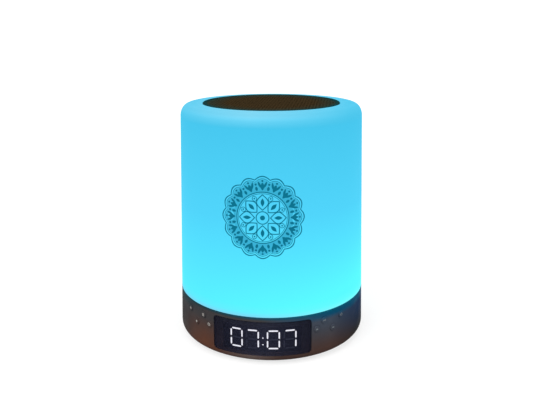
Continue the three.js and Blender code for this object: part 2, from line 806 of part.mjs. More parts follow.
function portBody(size) {
  return block(-size.width / 2, size.width / 2, -portFace, -(portFace - size.depth),
    boardTop, boardTop + size.height);
}

function slotCavity(size, depthShare) {
  return block(-size.width / 2 + size.lip, size.width / 2 - size.lip, -(portFace + overrun),
    -(portFace - size.depth * depthShare), boardTop + size.lip, boardTop + size.height - size.lip);
}

const tongueShare = 0.12;
const cavityShare = 0.8;
const tongueWidthShare = 0.7;
const usbMiddle = boardTop + usbSize.height / 2;
const usbTongue = block(-usbSize.width * tongueWidthShare / 2, usbSize.width * tongueWidthShare / 2,
  -(portFace - usbSize.lip), -(portFace - usbSize.depth), usbMiddle - usbSize.height * tongueShare,
  usbMiddle + usbSize.height * tongueShare);
place("usb_socket", portBody(usbSize).subtract(slotCavity(usbSize, cavityShare)).add(usbTongue),
  finish(0xb8bcc2, 0.3, 0.9), socketGroup(usbSize));
place("card_socket", portBody(cardSize).subtract(slotCavity(cardSize, cavityShare)),
  finish(0xb8bcc2, 0.35, 0.9), socketGroup(cardSize));

const auxBack = portFace - auxSize.depth;
const auxShoulder = baseInnerRadius - overrun;
const auxBlock = block(-auxSize.width / 2, auxSize.width / 2, -auxShoulder, -auxBack,
  boardTop, boardTop + auxSize.height);
const auxNozzle = rod(auxSize.nozzle, auxShoulder - overrun, portFace).rotate(90, 0, 0)
  .translate(0, 0, auxHeight);
const auxBore = rod(auxSize.bore, auxBack + overrun, portFace + overrun).rotate(90, 0, 0)
  .translate(0, 0, auxHeight);
place("aux_jack", auxBlock.add(auxNozzle).subtract(auxBore), finish(0x19191b, 0.5),
  socketGroup(auxSize));

const switchFace = Math.sqrt((baseInnerRadius - fit) ** 2 - (switchSize.width / 2) ** 2);
const shoeBack = switchFace - knobShoeDepth;
const grooveHalfWidth = (knobShoeWidth + knobTravel) / 2 + fit;
const switchHolder = socketGroup(switchSize);
const switchBlock = block(-switchSize.width / 2, switchSize.width / 2, -switchFace,
  -(switchFace - switchSize.depth), boardTop, boardTop + switchSize.height);
const switchGroove = block(-grooveHalfWidth, grooveHalfWidth, -(switchFace + overrun),
  -(shoeBack - fit), knobHeightMiddle - knobShoeHeight / 2 - fit,
  knobHeightMiddle + knobShoeHeight / 2 + fit);
place("switch_body", switchBlock.subtract(switchGroove), finish(0xb8bcc2, 0.35, 0.9), switchHolder);
const shoe = block(-knobShoeWidth / 2, knobShoeWidth / 2, -switchFace, -shoeBack,
  knobHeightMiddle - knobShoeHeight / 2, knobHeightMiddle + knobShoeHeight / 2);
const nub = block(-knobWidth / 2, knobWidth / 2, -(wallRadius(knobHeightMiddle) + knobProud),
  -(shoeBack + fit), knobHeightMiddle - knobHeight / 2, knobHeightMiddle + knobHeight / 2);
const knob = place("switch_knob", shoe.add(nub), finish(0x18181a, 0.5), switchHolder);
knob.position.x = knobTravel / 2;

// Speaker column: screwed to the deck, it carries the driver, the shade's crown and the grille
const column = new THREE.Group();
group.add(column);
const seatUnder = ledgeUnder - seatThickness;
const columnOutline = [
  [columnInnerRadius, deckTop],
  [columnFlangeRadius, deckTop],
  [columnFlangeRadius, deckTop + columnFlangeThickness],
  [columnOuterRadius, deckTop + columnFlangeThickness],
  [columnOuterRadius, baffleUnder],
  [collarRadius, baffleUnder],
  [collarRadius, seatUnder],
  [collarRadius + seatReach, seatUnder],
  [collarRadius + seatReach, ledgeUnder],
  [collarRadius, ledgeUnder],
  [collarRadius, collarTop],
  [collarRadius - collarWall, collarTop],
  [collarRadius - collarWall, baffleTop],
  [basketRadius + fit, baffleTop],
  [basketRadius + fit, baffleUnder],
  [columnInnerRadius, baffleUnder],
];
const driverBosses = driverScrewAngles.map((turn) => around(
  rod(driverBossRadius, baffleUnder - driverBossLength, baffleTop - baffleThickness / 2),
  turn, driverScrewCircle));
const columnBores = driverScrewAngles.map((turn) => around(
  rod(screwHoleRadius, baffleTop - driverScrewLength - fit, baffleTop + overrun, screwSides),
  turn, driverScrewCircle));
for (const turn of columnScrewAngles) {
  columnBores.push(around(rod(screwHoleRadius, deckTop - overrun,
    deckTop + columnFlangeThickness + overrun, screwSides), turn, columnScrewCircle));
}
place("speaker_column", cut(join([revolve(columnOutline, driverSides), ...driverBosses]), columnBores),
  finish(0xf0f0ec, 0.5), column);
columnScrewAngles.forEach((turn, i) => {
  placeScrew(`column_screw_${i + 1}`, screwBody(columnScrewLength), turn, columnScrewCircle,
    deckTop + columnFlangeThickness, column);
});

// Driver: basket, magnet, plates, coil, cone, surround, dust cap and spider
const driver = new THREE.Group();
driver.position.z = baffleTop;
column.add(driver);
const flangeTop = basketFlangeThickness;
const floorTop = basketThickness - basketDepth;
const stepTop = floorTop + spiderStepHeight;
const stepOuter = basketFloorRadius - basketThickness;
const coilInner = poleRadius + poleGap;
const coilOuter = coilInner + coilWall;
const plateBore = coilOuter + poleGap;
const basketBore = plateBore + basketThickness;
const basketWaist = -baffleThickness - basketThickness;
const basketBlank = revolve([
  [basketBore, -basketDepth],
  [basketFloorRadius, -basketDepth],
  [basketRadius, basketWaist],
  [basketRadius, 0],
  [basketFlangeRadius, 0],
  [basketFlangeRadius, flangeTop],
  [basketRadius - basketThickness, flangeTop],
  [basketRadius - basketThickness, basketWaist],
  [stepOuter, stepTop],
  [stepOuter - spiderStepWidth, stepTop],
  [stepOuter - spiderStepWidth, floorTop],
  [basketBore, floorTop],
], driverSides);
const basketWindows = [0, 90].map((turn) => facing(block(-basketWindowWidth / 2, basketWindowWidth / 2,
  -basketRadius - overrun, basketRadius + overrun, basketWaist - basketWindowHeight, basketWaist), turn));
const windowArea = cut(basketWindows[0].add(basketWindows[1]), [rod(stepOuter - spiderStepWidth - fit,
  -basketDepth, 0, driverSides)]);
const flangeBores = driverScrewAngles.map((turn) => around(
  rod(screwHoleRadius, -overrun, flangeTop + overrun, screwSides), turn, driverScrewCircle));
place("driver_basket", cut(basketBlank, [windowArea, ...flangeBores]), finish(0x2c2d30, 0.5, 0.7), driver);
driverScrewAngles.forEach((turn, i) => {
  placeScrew(`driver_screw_${i + 1}`, screwBody(driverScrewLength), turn, driverScrewCircle,
    flangeTop, driver);
});

const topPlateTop = -basketDepth;
const topPlateUnder = topPlateTop - plateThickness;
const magnetUnder = topPlateUnder - magnetThickness;
const yokeUnder = magnetUnder - plateThickness;
place("driver_top_plate", tube(plateBore, topPlateRadius, topPlateUnder, topPlateTop, driverSides),
  finish(0x8f9296, 0.4, 0.9), driver);
place("driver_magnet", tube(plateBore + magnetBoreGap, magnetRadius, magnetUnder, topPlateUnder, driverSides),
  finish(0x2a2a2c, 0.7, 0.2), driver);
place("driver_yoke", revolve([
  [0, yokeUnder],
  [topPlateRadius, yokeUnder],
  [topPlateRadius, magnetUnder],
  [poleRadius, magnetUnder],
  [poleRadius, topPlateTop],
  [0, topPlateTop],
], driverSides), finish(0x8f9296, 0.4, 0.9), driver);

const rollCentre = basketRadius - basketThickness / 2 - surroundRollRadius;
const coneRim = rollCentre - surroundRollRadius;
const neckHeight = flangeTop - coneDepth;
const neckRadius = coilOuter + fit;
place("voice_coil", tube(coilInner, coilOuter, topPlateUnder - coilOverhang, neckHeight + coneThickness * 2,
  driverSides), finish(0xb4713a, 0.4, 0.6), driver);
place("speaker_cone", revolve([
  [neckRadius, neckHeight],
  [neckRadius + coneThickness, neckHeight],
  [coneRim - coneRimWidth, flangeTop - coneThickness],
  [coneRim, flangeTop - coneThickness],
  [coneRim, flangeTop],
  [coneRim - coneRimWidth - coneThickness / 2, flangeTop],
  [neckRadius, neckHeight + coneThickness * 1.5],
], driverSides), finish(0x252426, 0.85), driver);
const rollOuter = quarterArc(rollCentre, flangeTop, surroundRollRadius + surroundThickness / 2,
  surroundRollRadius + surroundThickness / 2, rollRest, 180 - rollRest, rollSteps);
const rollInner = quarterArc(rollCentre, flangeTop, surroundRollRadius - surroundThickness / 2,
  surroundRollRadius - surroundThickness / 2, 180, 0, rollSteps);
place("speaker_surround", revolve([
  [rollCentre + surroundRollRadius + surroundLip, flangeTop],
  [rollCentre + surroundRollRadius + surroundLip, flangeTop + surroundThickness],
  ...rollOuter,
  [coneRim - coneRimWidth, flangeTop + surroundThickness],
  [coneRim - coneRimWidth, flangeTop],
  ...rollInner,
], driverSides), finish(0x1a1a1b, 0.9), driver);

const capRadius = neckRadius + coneThickness;
const capFloor = neckHeight + coneThickness * 3 + fit;
const capOuter = quarterArc(0, capFloor, capRadius, dustCapRise, 0, 90, capSteps);
const capInner = quarterArc(0, capFloor, capRadius - dustCapThickness,
  dustCapRise - dustCapThickness, 90, 0, capSteps);
capOuter[capOuter.length - 1][0] = 0;
capInner[0][0] = 0;
const capLoop = [...capInner, ...capOuter];
place("dust_cap", revolve(capLoop, driverSides), finish(0x1d1d1f, 0.6), driver);

const spiderInner = neckRadius;
const spiderOuter = stepOuter - fit;
const waveShares = [0, 0.2, 0.4, 0.6, 1];
const spiderLower = waveShares.map((share, i) => [spiderInner + (spiderOuter - spiderInner) * share,
  stepTop + (i > 0 && i < waveShares.length - 1 && i % 2 === 1 ? spiderWave : 0)]);
const spiderUpper = spiderLower.map(([r, z]) => [r, z + spiderThickness]).reverse();
place("speaker_spider", revolve([...spiderLower, ...spiderUpper], driverSides),
  finish(0xc9a86a, 0.9), driver);

// Touch contact: a bent leaf on the collar that reaches up to the grille
const touch = new THREE.Group();
column.add(touch);
const leafTop = bodyHeight - grilleThickness - fit;
const leafBottom = flangeTop + baffleTop + fit;
const leafRadius = collarRadius - collarWall - leafGap;
const leafShape = new THREE.Shape();
leafShape.moveTo(-leafRadius, leafBottom);
leafShape.lineTo(-leafRadius + leafThickness, leafBottom);
leafShape.lineTo(-leafRadius + leafThickness, leafTop - leafThickness * 2);
leafShape.lineTo(-leafRadius + leafFoot, leafTop - leafThickness);
leafShape.lineTo(-leafRadius + leafFoot + leafThickness, leafTop);
leafShape.lineTo(-leafRadius + leafFoot - leafThickness, leafTop);
leafShape.lineTo(-leafRadius, leafTop - leafThickness);
leafShape.closePath();
const leaf = rise(leafShape, -leafWidth / 2, leafWidth / 2, 1).rotate(90, 0, 0);
place("touch_contact", facing(leaf, 90), finish(0xc8a24a, 0.3, 0.9), touch);

// Shade: one thin moulding, drafted towards the top, rounded into a crown that holds the grille
function shadeOutline() {
  const spigotBottom = baseHeight - spigotDepth;
  const shoulderStart = crownHeight - crownRise - shoulderHeight;
  const outerShoulder = quarterArc(shadeTopRadius - shoulderReach, shoulderStart,
    shoulderReach, shoulderHeight, 0, 90, shoulderSteps);
  const innerShoulder = quarterArc(shadeTopRadius - shoulderReach, shoulderStart,
    shoulderReach - shadeWall, shoulderHeight - shadeWall, 90, 0, innerShoulderSteps);
  return [
    [spigotInnerRadius, spigotBottom],
    [spigotOuterRadius, spigotBottom],
    [spigotOuterRadius, beadMiddle - beadHalf],
    [spigotOuterRadius + beadProud, beadMiddle],
    [spigotOuterRadius, beadMiddle + beadHalf],
    [spigotOuterRadius, baseHeight],
    [bodyRadius, baseHeight],
    ...outerShoulder,
    [rebateRadius + crownRise, crownHeight - crownRise / 8],
    [rebateRadius, crownHeight - crownRise / 4],
    [rebateRadius, ledgeTop],
    [ledgeInnerRadius, ledgeTop],
    [ledgeInnerRadius, ledgeUnder],
    [rebateRadius + shadeWall, ledgeUnder],
    [rebateRadius + shadeWall, crownHeight - crownRise / 2 - shadeWall],
    ...innerShoulder,
    [bodyRadius - shadeWall, baseHeight + spigotRoot],
    [spigotInnerRadius, baseHeight + spigotRoot - spigotWall],
  ];
}
place("shade", revolve(shadeOutline()), finish(0x54d2fa, 0.35), group);

// Grille: a pressed cap with a round field of holes in close rows, turned down at its rim
function ringOfPoints(x, y, radius, sides) {
  const points = [];
  for (let i = 0; i < sides; i += 1) {
    const angle = 2 * Math.PI * i / sides - Math.PI / 2;
    points.push(new THREE.Vector2(x + radius * Math.cos(angle), y + radius * Math.sin(angle)));
  }
  return points;
}

function grilleHoles() {
  const field = grilleRadius - grilleBorder;
  const pitch = (field - grilleHoleRadius) / grilleRings;
  const rowRise = pitch * Math.sqrt(3) / 2;
  const radius = Math.min(grilleHoleRadius, pitch / 2 - fit);
  const rows = Math.floor(field / rowRise);
  const holes = [];
  for (let row = -rows; row <= rows; row += 1) {
    const stagger = row % 2 === 0 ? 0 : pitch / 2;
    for (let i = -rows; i <= rows; i += 1) {
      const x = i * pitch + stagger;
      const y = row * rowRise;
      if (Math.hypot(x, y) + radius > field) continue;
      holes.push(new THREE.Path(ringOfPoints(x, y, radius, grilleHoleSides)));
    }
  }
  return holes;
}

const grilleShape = new THREE.Shape(ringOfPoints(0, 0, grilleRadius - grilleThickness / 2, roundSides));
grilleShape.holes = grilleHoles();
const grillePlate = rise(grilleShape, bodyHeight - grilleThickness, bodyHeight);
const grilleRim = revolve([
  [grilleRadius - grilleThickness, ledgeTop],
  [grilleRadius, ledgeTop],
  [grilleRadius, bodyHeight - grilleThickness / 2],
  [grilleRadius - grilleThickness / 2, bodyHeight],
  [grilleRadius - grilleThickness, bodyHeight - grilleThickness / 2],
]);
place("grille", grillePlate.add(grilleRim), finish(0x3c2d1c, 0.5, 0.6), group);

export default group;
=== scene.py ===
import bmesh
import bpy
import math
from mathutils import Matrix, Vector


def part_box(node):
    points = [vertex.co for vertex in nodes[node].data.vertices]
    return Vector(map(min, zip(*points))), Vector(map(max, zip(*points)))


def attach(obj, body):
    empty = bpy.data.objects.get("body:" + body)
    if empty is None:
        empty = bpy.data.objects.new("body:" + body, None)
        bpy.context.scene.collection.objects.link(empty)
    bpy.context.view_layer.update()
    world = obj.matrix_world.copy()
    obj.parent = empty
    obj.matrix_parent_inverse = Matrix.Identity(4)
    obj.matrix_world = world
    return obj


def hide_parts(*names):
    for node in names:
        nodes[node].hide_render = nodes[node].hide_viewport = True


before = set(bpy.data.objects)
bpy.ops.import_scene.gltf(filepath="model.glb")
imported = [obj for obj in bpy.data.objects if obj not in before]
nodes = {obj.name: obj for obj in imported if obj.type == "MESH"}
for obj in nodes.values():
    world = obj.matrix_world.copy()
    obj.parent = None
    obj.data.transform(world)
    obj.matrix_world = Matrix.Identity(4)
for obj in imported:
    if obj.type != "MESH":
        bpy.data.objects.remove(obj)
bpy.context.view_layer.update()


# Shade
# One thin frosted moulding with a slight draft, rounded into a crown that holds the grille.
# It is lit from a ring of lights under it, so it is palest at the foot and shines through evenly.
MM = 0.001
BASE_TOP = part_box("base_shell")[1].z
SHADE_FOOT_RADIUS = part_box("shade")[1].x
SHADE_TOP_RADIUS = 48.4 * MM
SHADE_WALL = 2 * MM
SHOULDER_REACH = 4.3 * MM
SHOULDER_HEIGHT = 6.2 * MM
CROWN_RISE = 0.4 * MM
CROWN_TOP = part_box("grille")[1].z - 0.1 * MM
REBATE_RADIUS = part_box("grille")[1].x + 0.3 * MM
LEDGE_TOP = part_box("grille")[0].z
LEDGE_INNER = REBATE_RADIUS - 2 * MM
SPIGOT_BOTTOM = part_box("shade")[0].z
SPIGOT_OUTER = 47.6 * MM
SPIGOT_INNER = 46.4 * MM
SHOULDER_START = CROWN_TOP - CROWN_RISE - SHOULDER_HEIGHT
ROUND_STEPS = 192
CYAN_LOW = (0.088, 0.880, 0.960, 1)
CYAN_HIP = (0.078, 0.710, 0.910, 1)
CYAN_MIDDLE = (0.066, 0.575, 0.840, 1)
CYAN_TOP = (0.048, 0.485, 0.740, 1)
CYAN_RIM = (0.048, 0.440, 0.660, 1)
# The shoulder and crown colours are a painted highlight
CYAN_SHOULDER_HIGHLIGHT = (0.200, 0.620, 0.830, 1)
CYAN_CROWN_HIGHLIGHT = (0.185, 0.520, 0.690, 1)
CYAN_FOOT_LEFT = (0.200, 0.580, 0.770, 1)
CYAN_FOOT_RIGHT = (0.190, 0.960, 0.970, 1)
UNLIT_SHADE = (0.018, 0.110, 0.150, 1)
BROAD_SHARE = 0.08
FULL_TURN = 2 * math.pi


def smooth_faces(mesh, angle=30):
    mesh.shade_smooth()
    mesh.set_sharp_from_angle(angle=math.radians(angle))


def arc(centre_r, centre_z, reach_r, reach_z, start, end, steps):
    points = []
    for i in range(steps + 1):
        a = math.radians(start + (end - start) * i / steps)
        points.append((centre_r + reach_r * math.cos(a), centre_z + reach_z * math.sin(a)))
    return points


def placed_object(name, data):
    piece = bpy.data.objects.new(name, data)
    bpy.context.scene.collection.objects.link(piece)
    return piece


def plain_object(bm, name):
    mesh = bpy.data.meshes.new(name)
    bm.to_mesh(mesh)
    bm.free()
    return placed_object(name, mesh)


def smooth_object(bm, name):
    bmesh.ops.remove_doubles(bm, verts=bm.verts, dist=0.0005 * MM)
    bmesh.ops.recalc_face_normals(bm, faces=bm.faces)
    piece = plain_object(bm, name)
    smooth_faces(piece.data, 35)
    return piece


def spun(profile, steps=ROUND_STEPS, closed=True):
    bm = bmesh.new()
    verts = [bm.verts.new((r, 0, z)) for r, z in profile]
    pairs = list(zip(verts, verts[1:]))
    if closed:
        pairs.append((verts[-1], verts[0]))
    edges = [bm.edges.new(pair) for pair in pairs]
    bmesh.ops.spin(bm, geom=verts + edges, cent=(0, 0, 0), axis=(0, 0, 1), dvec=(0, 0, 0),
                   angle=FULL_TURN, steps=steps, use_merge=True, use_duplicate=False)
    return bm


def shader_group(name, inputs, outputs):
    tree = bpy.data.node_groups.new(name, "ShaderNodeTree")
    for side, labels in (("INPUT", inputs), ("OUTPUT", outputs)):
        for label in labels:
            kind = "NodeSocketColor" if "olour" in label else "NodeSocketFloat"
            tree.interface.new_socket(label, in_out=side, socket_type=kind)
    return tree, tree.nodes.new("NodeGroupInput"), tree.nodes.new("NodeGroupOutput")


def object_place(tree):
    return tree.nodes.new("ShaderNodeTexCoord").outputs["Object"]


def noise(tree, place, scale, detail):
    node = tree.nodes.new("ShaderNodeTexNoise")
    node.inputs["Detail"].default_value = detail
    tree.links.new(place, node.inputs["Vector"])
    if isinstance(scale, float):
        node.inputs["Scale"].default_value = scale
    else:
        tree.links.new(scale, node.inputs["Scale"])
    return node.outputs["Fac"]


def math_node(tree, operation, first, second=None):
    node = tree.nodes.new("ShaderNodeMath")
    node.operation = operation
    for socket, value in zip(node.inputs, (first, second)):
        if isinstance(value, (int, float)):
            socket.default_value = value
        elif value is not None:
            tree.links.new(value, socket)
    return node.outputs[0]


def times(tree, first, second):
    return math_node(tree, "MULTIPLY", first, second)


def mixed(tree, mask, under, over):
    # Lays one colour over another by a mask; each of them is a colour or the output of a node
    mix = tree.nodes.new("ShaderNodeMix")
    mix.data_type = "RGBA"
    tree.links.new(mask, mix.inputs["Factor"])
    for label, colour in (("A", under), ("B", over)):
        if isinstance(colour, tuple):
            mix.inputs[label].default_value = colour
        else:
            tree.links.new(colour, mix.inputs[label])
    return mix.outputs["Result"]


def scaled_colour(tree, colour, level):
    scaled = tree.nodes.new("ShaderNodeVectorMath")
    scaled.operation = "SCALE"
    tree.links.new(colour, scaled.inputs[0])
    tree.links.new(level, scaled.inputs["Scale"])
    return scaled.outputs[0]


def make_moulded_grain():
    # Fine speckle of a moulded or cast surface over a broad one: a mottled colour, a height and a mask
    tree, start, end = shader_group("Moulded grain", ("Colour", "Scale", "Mottle"),
                                    ("Colour", "Height", "Speckle"))
    place = object_place(tree)
    broad_scale = times(tree, start.outputs["Scale"], BROAD_SHARE)
    fine = noise(tree, place, start.outputs["Scale"], 4)
    both = math_node(tree, "ADD", noise(tree, place, broad_scale, 3), fine)
    swing = times(tree, math_node(tree, "SUBTRACT", both, 1.0), start.outputs["Mottle"])
    mottled = scaled_colour(tree, start.outputs["Colour"], math_node(tree, "ADD", swing, 1.0))
    tree.links.new(mottled, end.inputs["Colour"])
    tree.links.new(fine, end.inputs["Height"])
    tree.links.new(both, end.inputs["Speckle"])
    return tree


def make_edge_highlight():
    # Painted highlight: outer edges are painted a little paler than the faces between them
    tree, start, end = shader_group("Edge highlight", ("Colour", "Edge colour", "Amount"), ("Colour",))
    rounded = tree.nodes.new("ShaderNodeBevel")
    rounded.samples = 4
    rounded.inputs["Radius"].default_value = 0.35 * MM
    flat = tree.nodes.new("ShaderNodeNewGeometry")
    dot = tree.nodes.new("ShaderNodeVectorMath")
    dot.operation = "DOT_PRODUCT"
    tree.links.new(rounded.outputs["Normal"], dot.inputs[0])
    tree.links.new(flat.outputs["Normal"], dot.inputs[1])
    bend = times(tree, math_node(tree, "SUBTRACT", 1.0, dot.outputs["Value"]), 6.0)
    edge = times(tree, math_node(tree, "MINIMUM", bend, 1.0), start.outputs["Amount"])
    highlighted = mixed(tree, edge, start.outputs["Colour"], start.outputs["Edge colour"])
    tree.links.new(highlighted, end.inputs["Colour"])
    return tree


MOULDED_GRAIN = make_moulded_grain()
EDGE_HIGHLIGHT = make_edge_highlight()


def empty_material(name):
    material = bpy.data.materials.new(name)
    material.use_nodes = True
    tree = material.node_tree
    return material, tree, tree.nodes["Principled BSDF"]


def placed_group(tree, group, **values):
    node = tree.nodes.new("ShaderNodeGroup")
    node.node_tree = group
    for label, value in values.items():
        node.inputs[label.replace("_", " ")].default_value = value
    return node


def grained(name, scale, mottle, colour=(0.5, 0.5, 0.5, 1), into="Base Color", bump=None, **constants):
    # A material whose colour runs through the grain. The bump has a depth and a strength, and the
    # constants stand on the shader's own sockets.
    material, tree, shader = empty_material(name)
    grain = placed_group(tree, MOULDED_GRAIN, Colour=colour, Scale=scale, Mottle=mottle)
    tree.links.new(grain.outputs["Colour"], shader.inputs[into])
    if bump:
        add_bump(tree, shader, grain.outputs["Height"], *bump)
    for label, value in constants.items():
        shader.inputs[label.replace("_", " ")].default_value = value
    return material, tree, shader, grain


def add_edge_highlight(tree, shader, grain, highlight_colour, amount):
    shine = placed_group(tree, EDGE_HIGHLIGHT, Edge_colour=highlight_colour, Amount=amount)
    tree.links.new(grain.outputs["Colour"], shine.inputs["Colour"])
    tree.links.new(shine.outputs["Colour"], shader.inputs["Base Color"])


def add_speckled_roughness(tree, shader, grain, roughness):
    rough = spread(tree, grain.outputs["Speckle"], 1 - 2 * roughness, 3 - 2 * roughness)
    tree.links.new(rough, shader.inputs["Roughness"])


def add_bump(tree, shader, height, depth, strength):
    bump = tree.nodes.new("ShaderNodeBump")
    bump.inputs["Distance"].default_value = depth
    bump.inputs["Strength"].default_value = strength
    tree.links.new(height, bump.inputs["Height"])
    tree.links.new(bump.outputs["Normal"], shader.inputs["Normal"])


def ramp(tree, factor, stops):
    node = tree.nodes.new("ShaderNodeValToRGB")
    elements = node.color_ramp.elements
    elements[0].position, elements[0].color = stops[0]
    elements[1].position, elements[1].color = stops[-1]
    for position, colour in stops[1:-1]:
        elements.new(position).color = colour
    tree.links.new(factor, node.inputs["Fac"])
    return node.outputs["Color"]


def level_ramp(tree, factor, stops):
    return ramp(tree, factor, [(position, (level, level, level, 1)) for position, level in stops])


def spread(tree, value, low, high):
    node = tree.nodes.new("ShaderNodeMapRange")
    node.inputs["From Min"].default_value = low
    node.inputs["From Max"].default_value = high
    tree.links.new(value, node.inputs["Value"])
    return node.outputs["Result"]


def object_axes(tree):
    split = tree.nodes.new("ShaderNodeSeparateXYZ")
    tree.links.new(object_place(tree), split.inputs["Vector"])
    return split.outputs


def shade_profile():
    bend = (SHADE_TOP_RADIUS - SHOULDER_REACH, SHOULDER_START)
    outer = arc(*bend, SHOULDER_REACH, SHOULDER_HEIGHT, 0, 90, 14)
    inner = arc(*bend, SHOULDER_REACH - SHADE_WALL, SHOULDER_HEIGHT - SHADE_WALL, 90, 0, 8)
    lip = 0.25 * MM
    return [
        (SPIGOT_INNER, SPIGOT_BOTTOM), (SPIGOT_OUTER, SPIGOT_BOTTOM), (SPIGOT_OUTER, BASE_TOP),
        (SHADE_FOOT_RADIUS - lip, BASE_TOP), (SHADE_FOOT_RADIUS, BASE_TOP + lip), *outer,
        (REBATE_RADIUS + 2 * lip, CROWN_TOP), (REBATE_RADIUS + lip, CROWN_TOP - lip / 4),
        (REBATE_RADIUS, CROWN_TOP - lip), (REBATE_RADIUS, LEDGE_TOP),
        (LEDGE_INNER, LEDGE_TOP), (LEDGE_INNER, LEDGE_TOP - SHADE_WALL),
        (REBATE_RADIUS + SHADE_WALL, LEDGE_TOP - SHADE_WALL),
        (REBATE_RADIUS + SHADE_WALL, CROWN_TOP - CROWN_RISE - SHADE_WALL), *inner,
        (SHADE_FOOT_RADIUS - SHADE_WALL, BASE_TOP + SHADE_WALL), (SPIGOT_INNER, BASE_TOP + SHADE_WALL / 2),
    ]


def lit_shade_material():
    material, tree, shader, grain = grained(
        "lit frosted shade", scale=1400.0, mottle=0.06, colour=UNLIT_SHADE, bump=(0.02 * MM, 0.5),
        Specular_IOR_Level=0.02, Emission_Strength=1.0)
    axes = object_axes(tree)
    height = spread(tree, axes["Z"], BASE_TOP, CROWN_TOP)
    side = spread(tree, axes["X"], -SHADE_FOOT_RADIUS, SHADE_FOOT_RADIUS)
    # Near the foot the light ring is a little stronger on the right, as in the photograph
    near_foot = math_node(tree, "POWER", math_node(tree, "SUBTRACT", 1.0, height), 3.0)
    lean = times(tree, times(tree, axes["X"], -3.0), near_foot)
    colour = ramp(tree, math_node(tree, "ADD", height, lean), [
        (0.0, CYAN_LOW), (0.25, CYAN_HIP), (0.5, CYAN_MIDDLE), (0.92, CYAN_TOP), (1.0, CYAN_RIM)])
    # A painted highlight of reflected room light makes a paler band on the rounded shoulder and crown,
    # strongest left of the middle, and the foot has a thin paler line where the wall sits on the base
    band = level_ramp(tree, height, [(0.93, 0), (0.964, 0.5), (0.982, 1)])
    strength = level_ramp(tree, side, [(0.05, 0.3), (0.26, 0.7), (0.45, 1), (0.7, 0.55), (0.92, 0.12)])
    painted_shoulder_highlight = ramp(tree, height, [(0.972, CYAN_SHOULDER_HIGHLIGHT), (0.99, CYAN_CROWN_HIGHLIGHT)])
    colour = mixed(tree, times(tree, band, strength), colour, painted_shoulder_highlight)
    foot = level_ramp(tree, height, [(0.0, 1), (0.012, 0.6), (0.025, 0.2), (0.06, 0)])
    foot_tint = ramp(tree, side, [(0.45, CYAN_FOOT_LEFT), (0.95, CYAN_FOOT_RIGHT)])
    colour = mixed(tree, foot, colour, foot_tint)
    # The spigot stands inside the base, so no light comes through the joint
    above_joint = spread(tree, axes["Z"], BASE_TOP - 0.3 * MM, BASE_TOP - 0.05 * MM)
    tree.links.new(scaled_colour(tree, colour, above_joint), shader.inputs["Emission Color"])
    tree.links.new(spread(tree, grain.outputs["Speckle"], -3.0, 3.0), shader.inputs["Roughness"])
    return material


shade = smooth_object(spun(shade_profile()), "shade_shell")
shade.data.materials.append(lit_shade_material())
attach(shade, "lamp_body")
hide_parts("shade")


# Rosette
# A printed ornament on the front of the shade: dark translucent ink that the light shines through.
# It is a plain wheel of petals, leaves and dots in a scalloped border, 41 mm across.
ROSETTE_HEIGHT = 76.2 * MM
ROSETTE_TURN = math.radians(1.25)
ROSETTE_LOBES = 16
ROSETTE_SCALLOP = 0.075
ROSETTE_PETALS = 8
INK_LIFT = 0.03 * MM
INK_FILM = 0.03 * MM
INK_LINE = 0.5 * MM


def wall_radius(z):
    share = (z - BASE_TOP) / (SHOULDER_START - BASE_TOP)
    return SHADE_FOOT_RADIUS + (SHADE_TOP_RADIUS - SHADE_FOOT_RADIUS) * share


def flat_disc(bm, radius, segments, centre=(0, 0)):
    return bmesh.ops.create_circle(bm, cap_ends=True, radius=radius, segments=segments,
                                   matrix=Matrix.Translation((*centre, 0)))["verts"]


def open_middle(bm, verts, line):
    # Turns a filled outline into a line of that width that follows its edge
    face = next(f for f in verts[0].link_faces if set(f.verts) == set(verts))
    bmesh.ops.inset_region(bm, faces=[face], thickness=line, use_boundary=True, use_even_offset=True)
    bmesh.ops.delete(bm, geom=[face], context="FACES_ONLY")


def printed_band(bm, outer, inner, outer_scallop=0.0, inner_scallop=0.0):
    edges = set()
    for radius, scallop in ((outer, outer_scallop), (inner, inner_scallop)):
        verts = bmesh.ops.create_circle(bm, radius=radius, segments=ROSETTE_LOBES * 12)["verts"]
        for v in verts:
            wave = 1 - abs(math.cos(ROSETTE_LOBES / 2 * math.atan2(v.co.x, v.co.y)))
            v.co *= 1 - scallop * wave
        edges.update(e for v in verts for e in v.link_edges)
    bmesh.ops.bridge_loops(bm, edges=list(edges))


def place_new(bm, before, matrix):
    # Moves what was added since the vertices in before were listed
    bmesh.ops.transform(bm, matrix=matrix, verts=[v for v in bm.verts if v not in before])


def face_outwards(bm):
    bm.normal_update()
    for face in bm.faces:
        if face.normal.dot(face.calc_center_median() * Vector((1, 1, 0))) < 0:
            face.normal_flip()


def printed_leaf(bm, inner, outer, width, turn, line=None, point=0.75, lean=0.0):
    length = outer - inner
    before = set(bm.verts)
    verts = flat_disc(bm, length / 2, 24)
    for v in verts:
        along = v.co.y / (length / 2)
        v.co.x *= width / length * (1 - point * along ** 2)
    if line:
        open_middle(bm, verts, line)
    place_new(bm, before, Matrix.Rotation(-turn, 4, "Z") @ Matrix.Translation((0, (inner + outer) / 2, 0))
              @ Matrix.Rotation(lean, 4, "Z"))


def printed_dot(bm, radius, size, turn):
    flat_disc(bm, size, 12, (radius * math.sin(turn), radius * math.cos(turn)))


def wrap_print(bm, lift):
    # Lays a flat print round the front of the shade
    bmesh.ops.triangulate(bm, faces=[f for f in bm.faces if len(f.verts) > 4])
    for v in bm.verts:
        z = ROSETTE_HEIGHT + v.co.y
        radius = wall_radius(z) + lift
        turn = ROSETTE_TURN + v.co.x / radius
        v.co = (radius * math.sin(turn), -radius * math.cos(turn), z)
    face_outwards(bm)
    return bm


def rosette_tint():
    bm = bmesh.new()
    printed_band(bm, 18.7 * MM, 12.9 * MM, ROSETTE_SCALLOP)
    return wrap_print(bm, INK_LIFT)


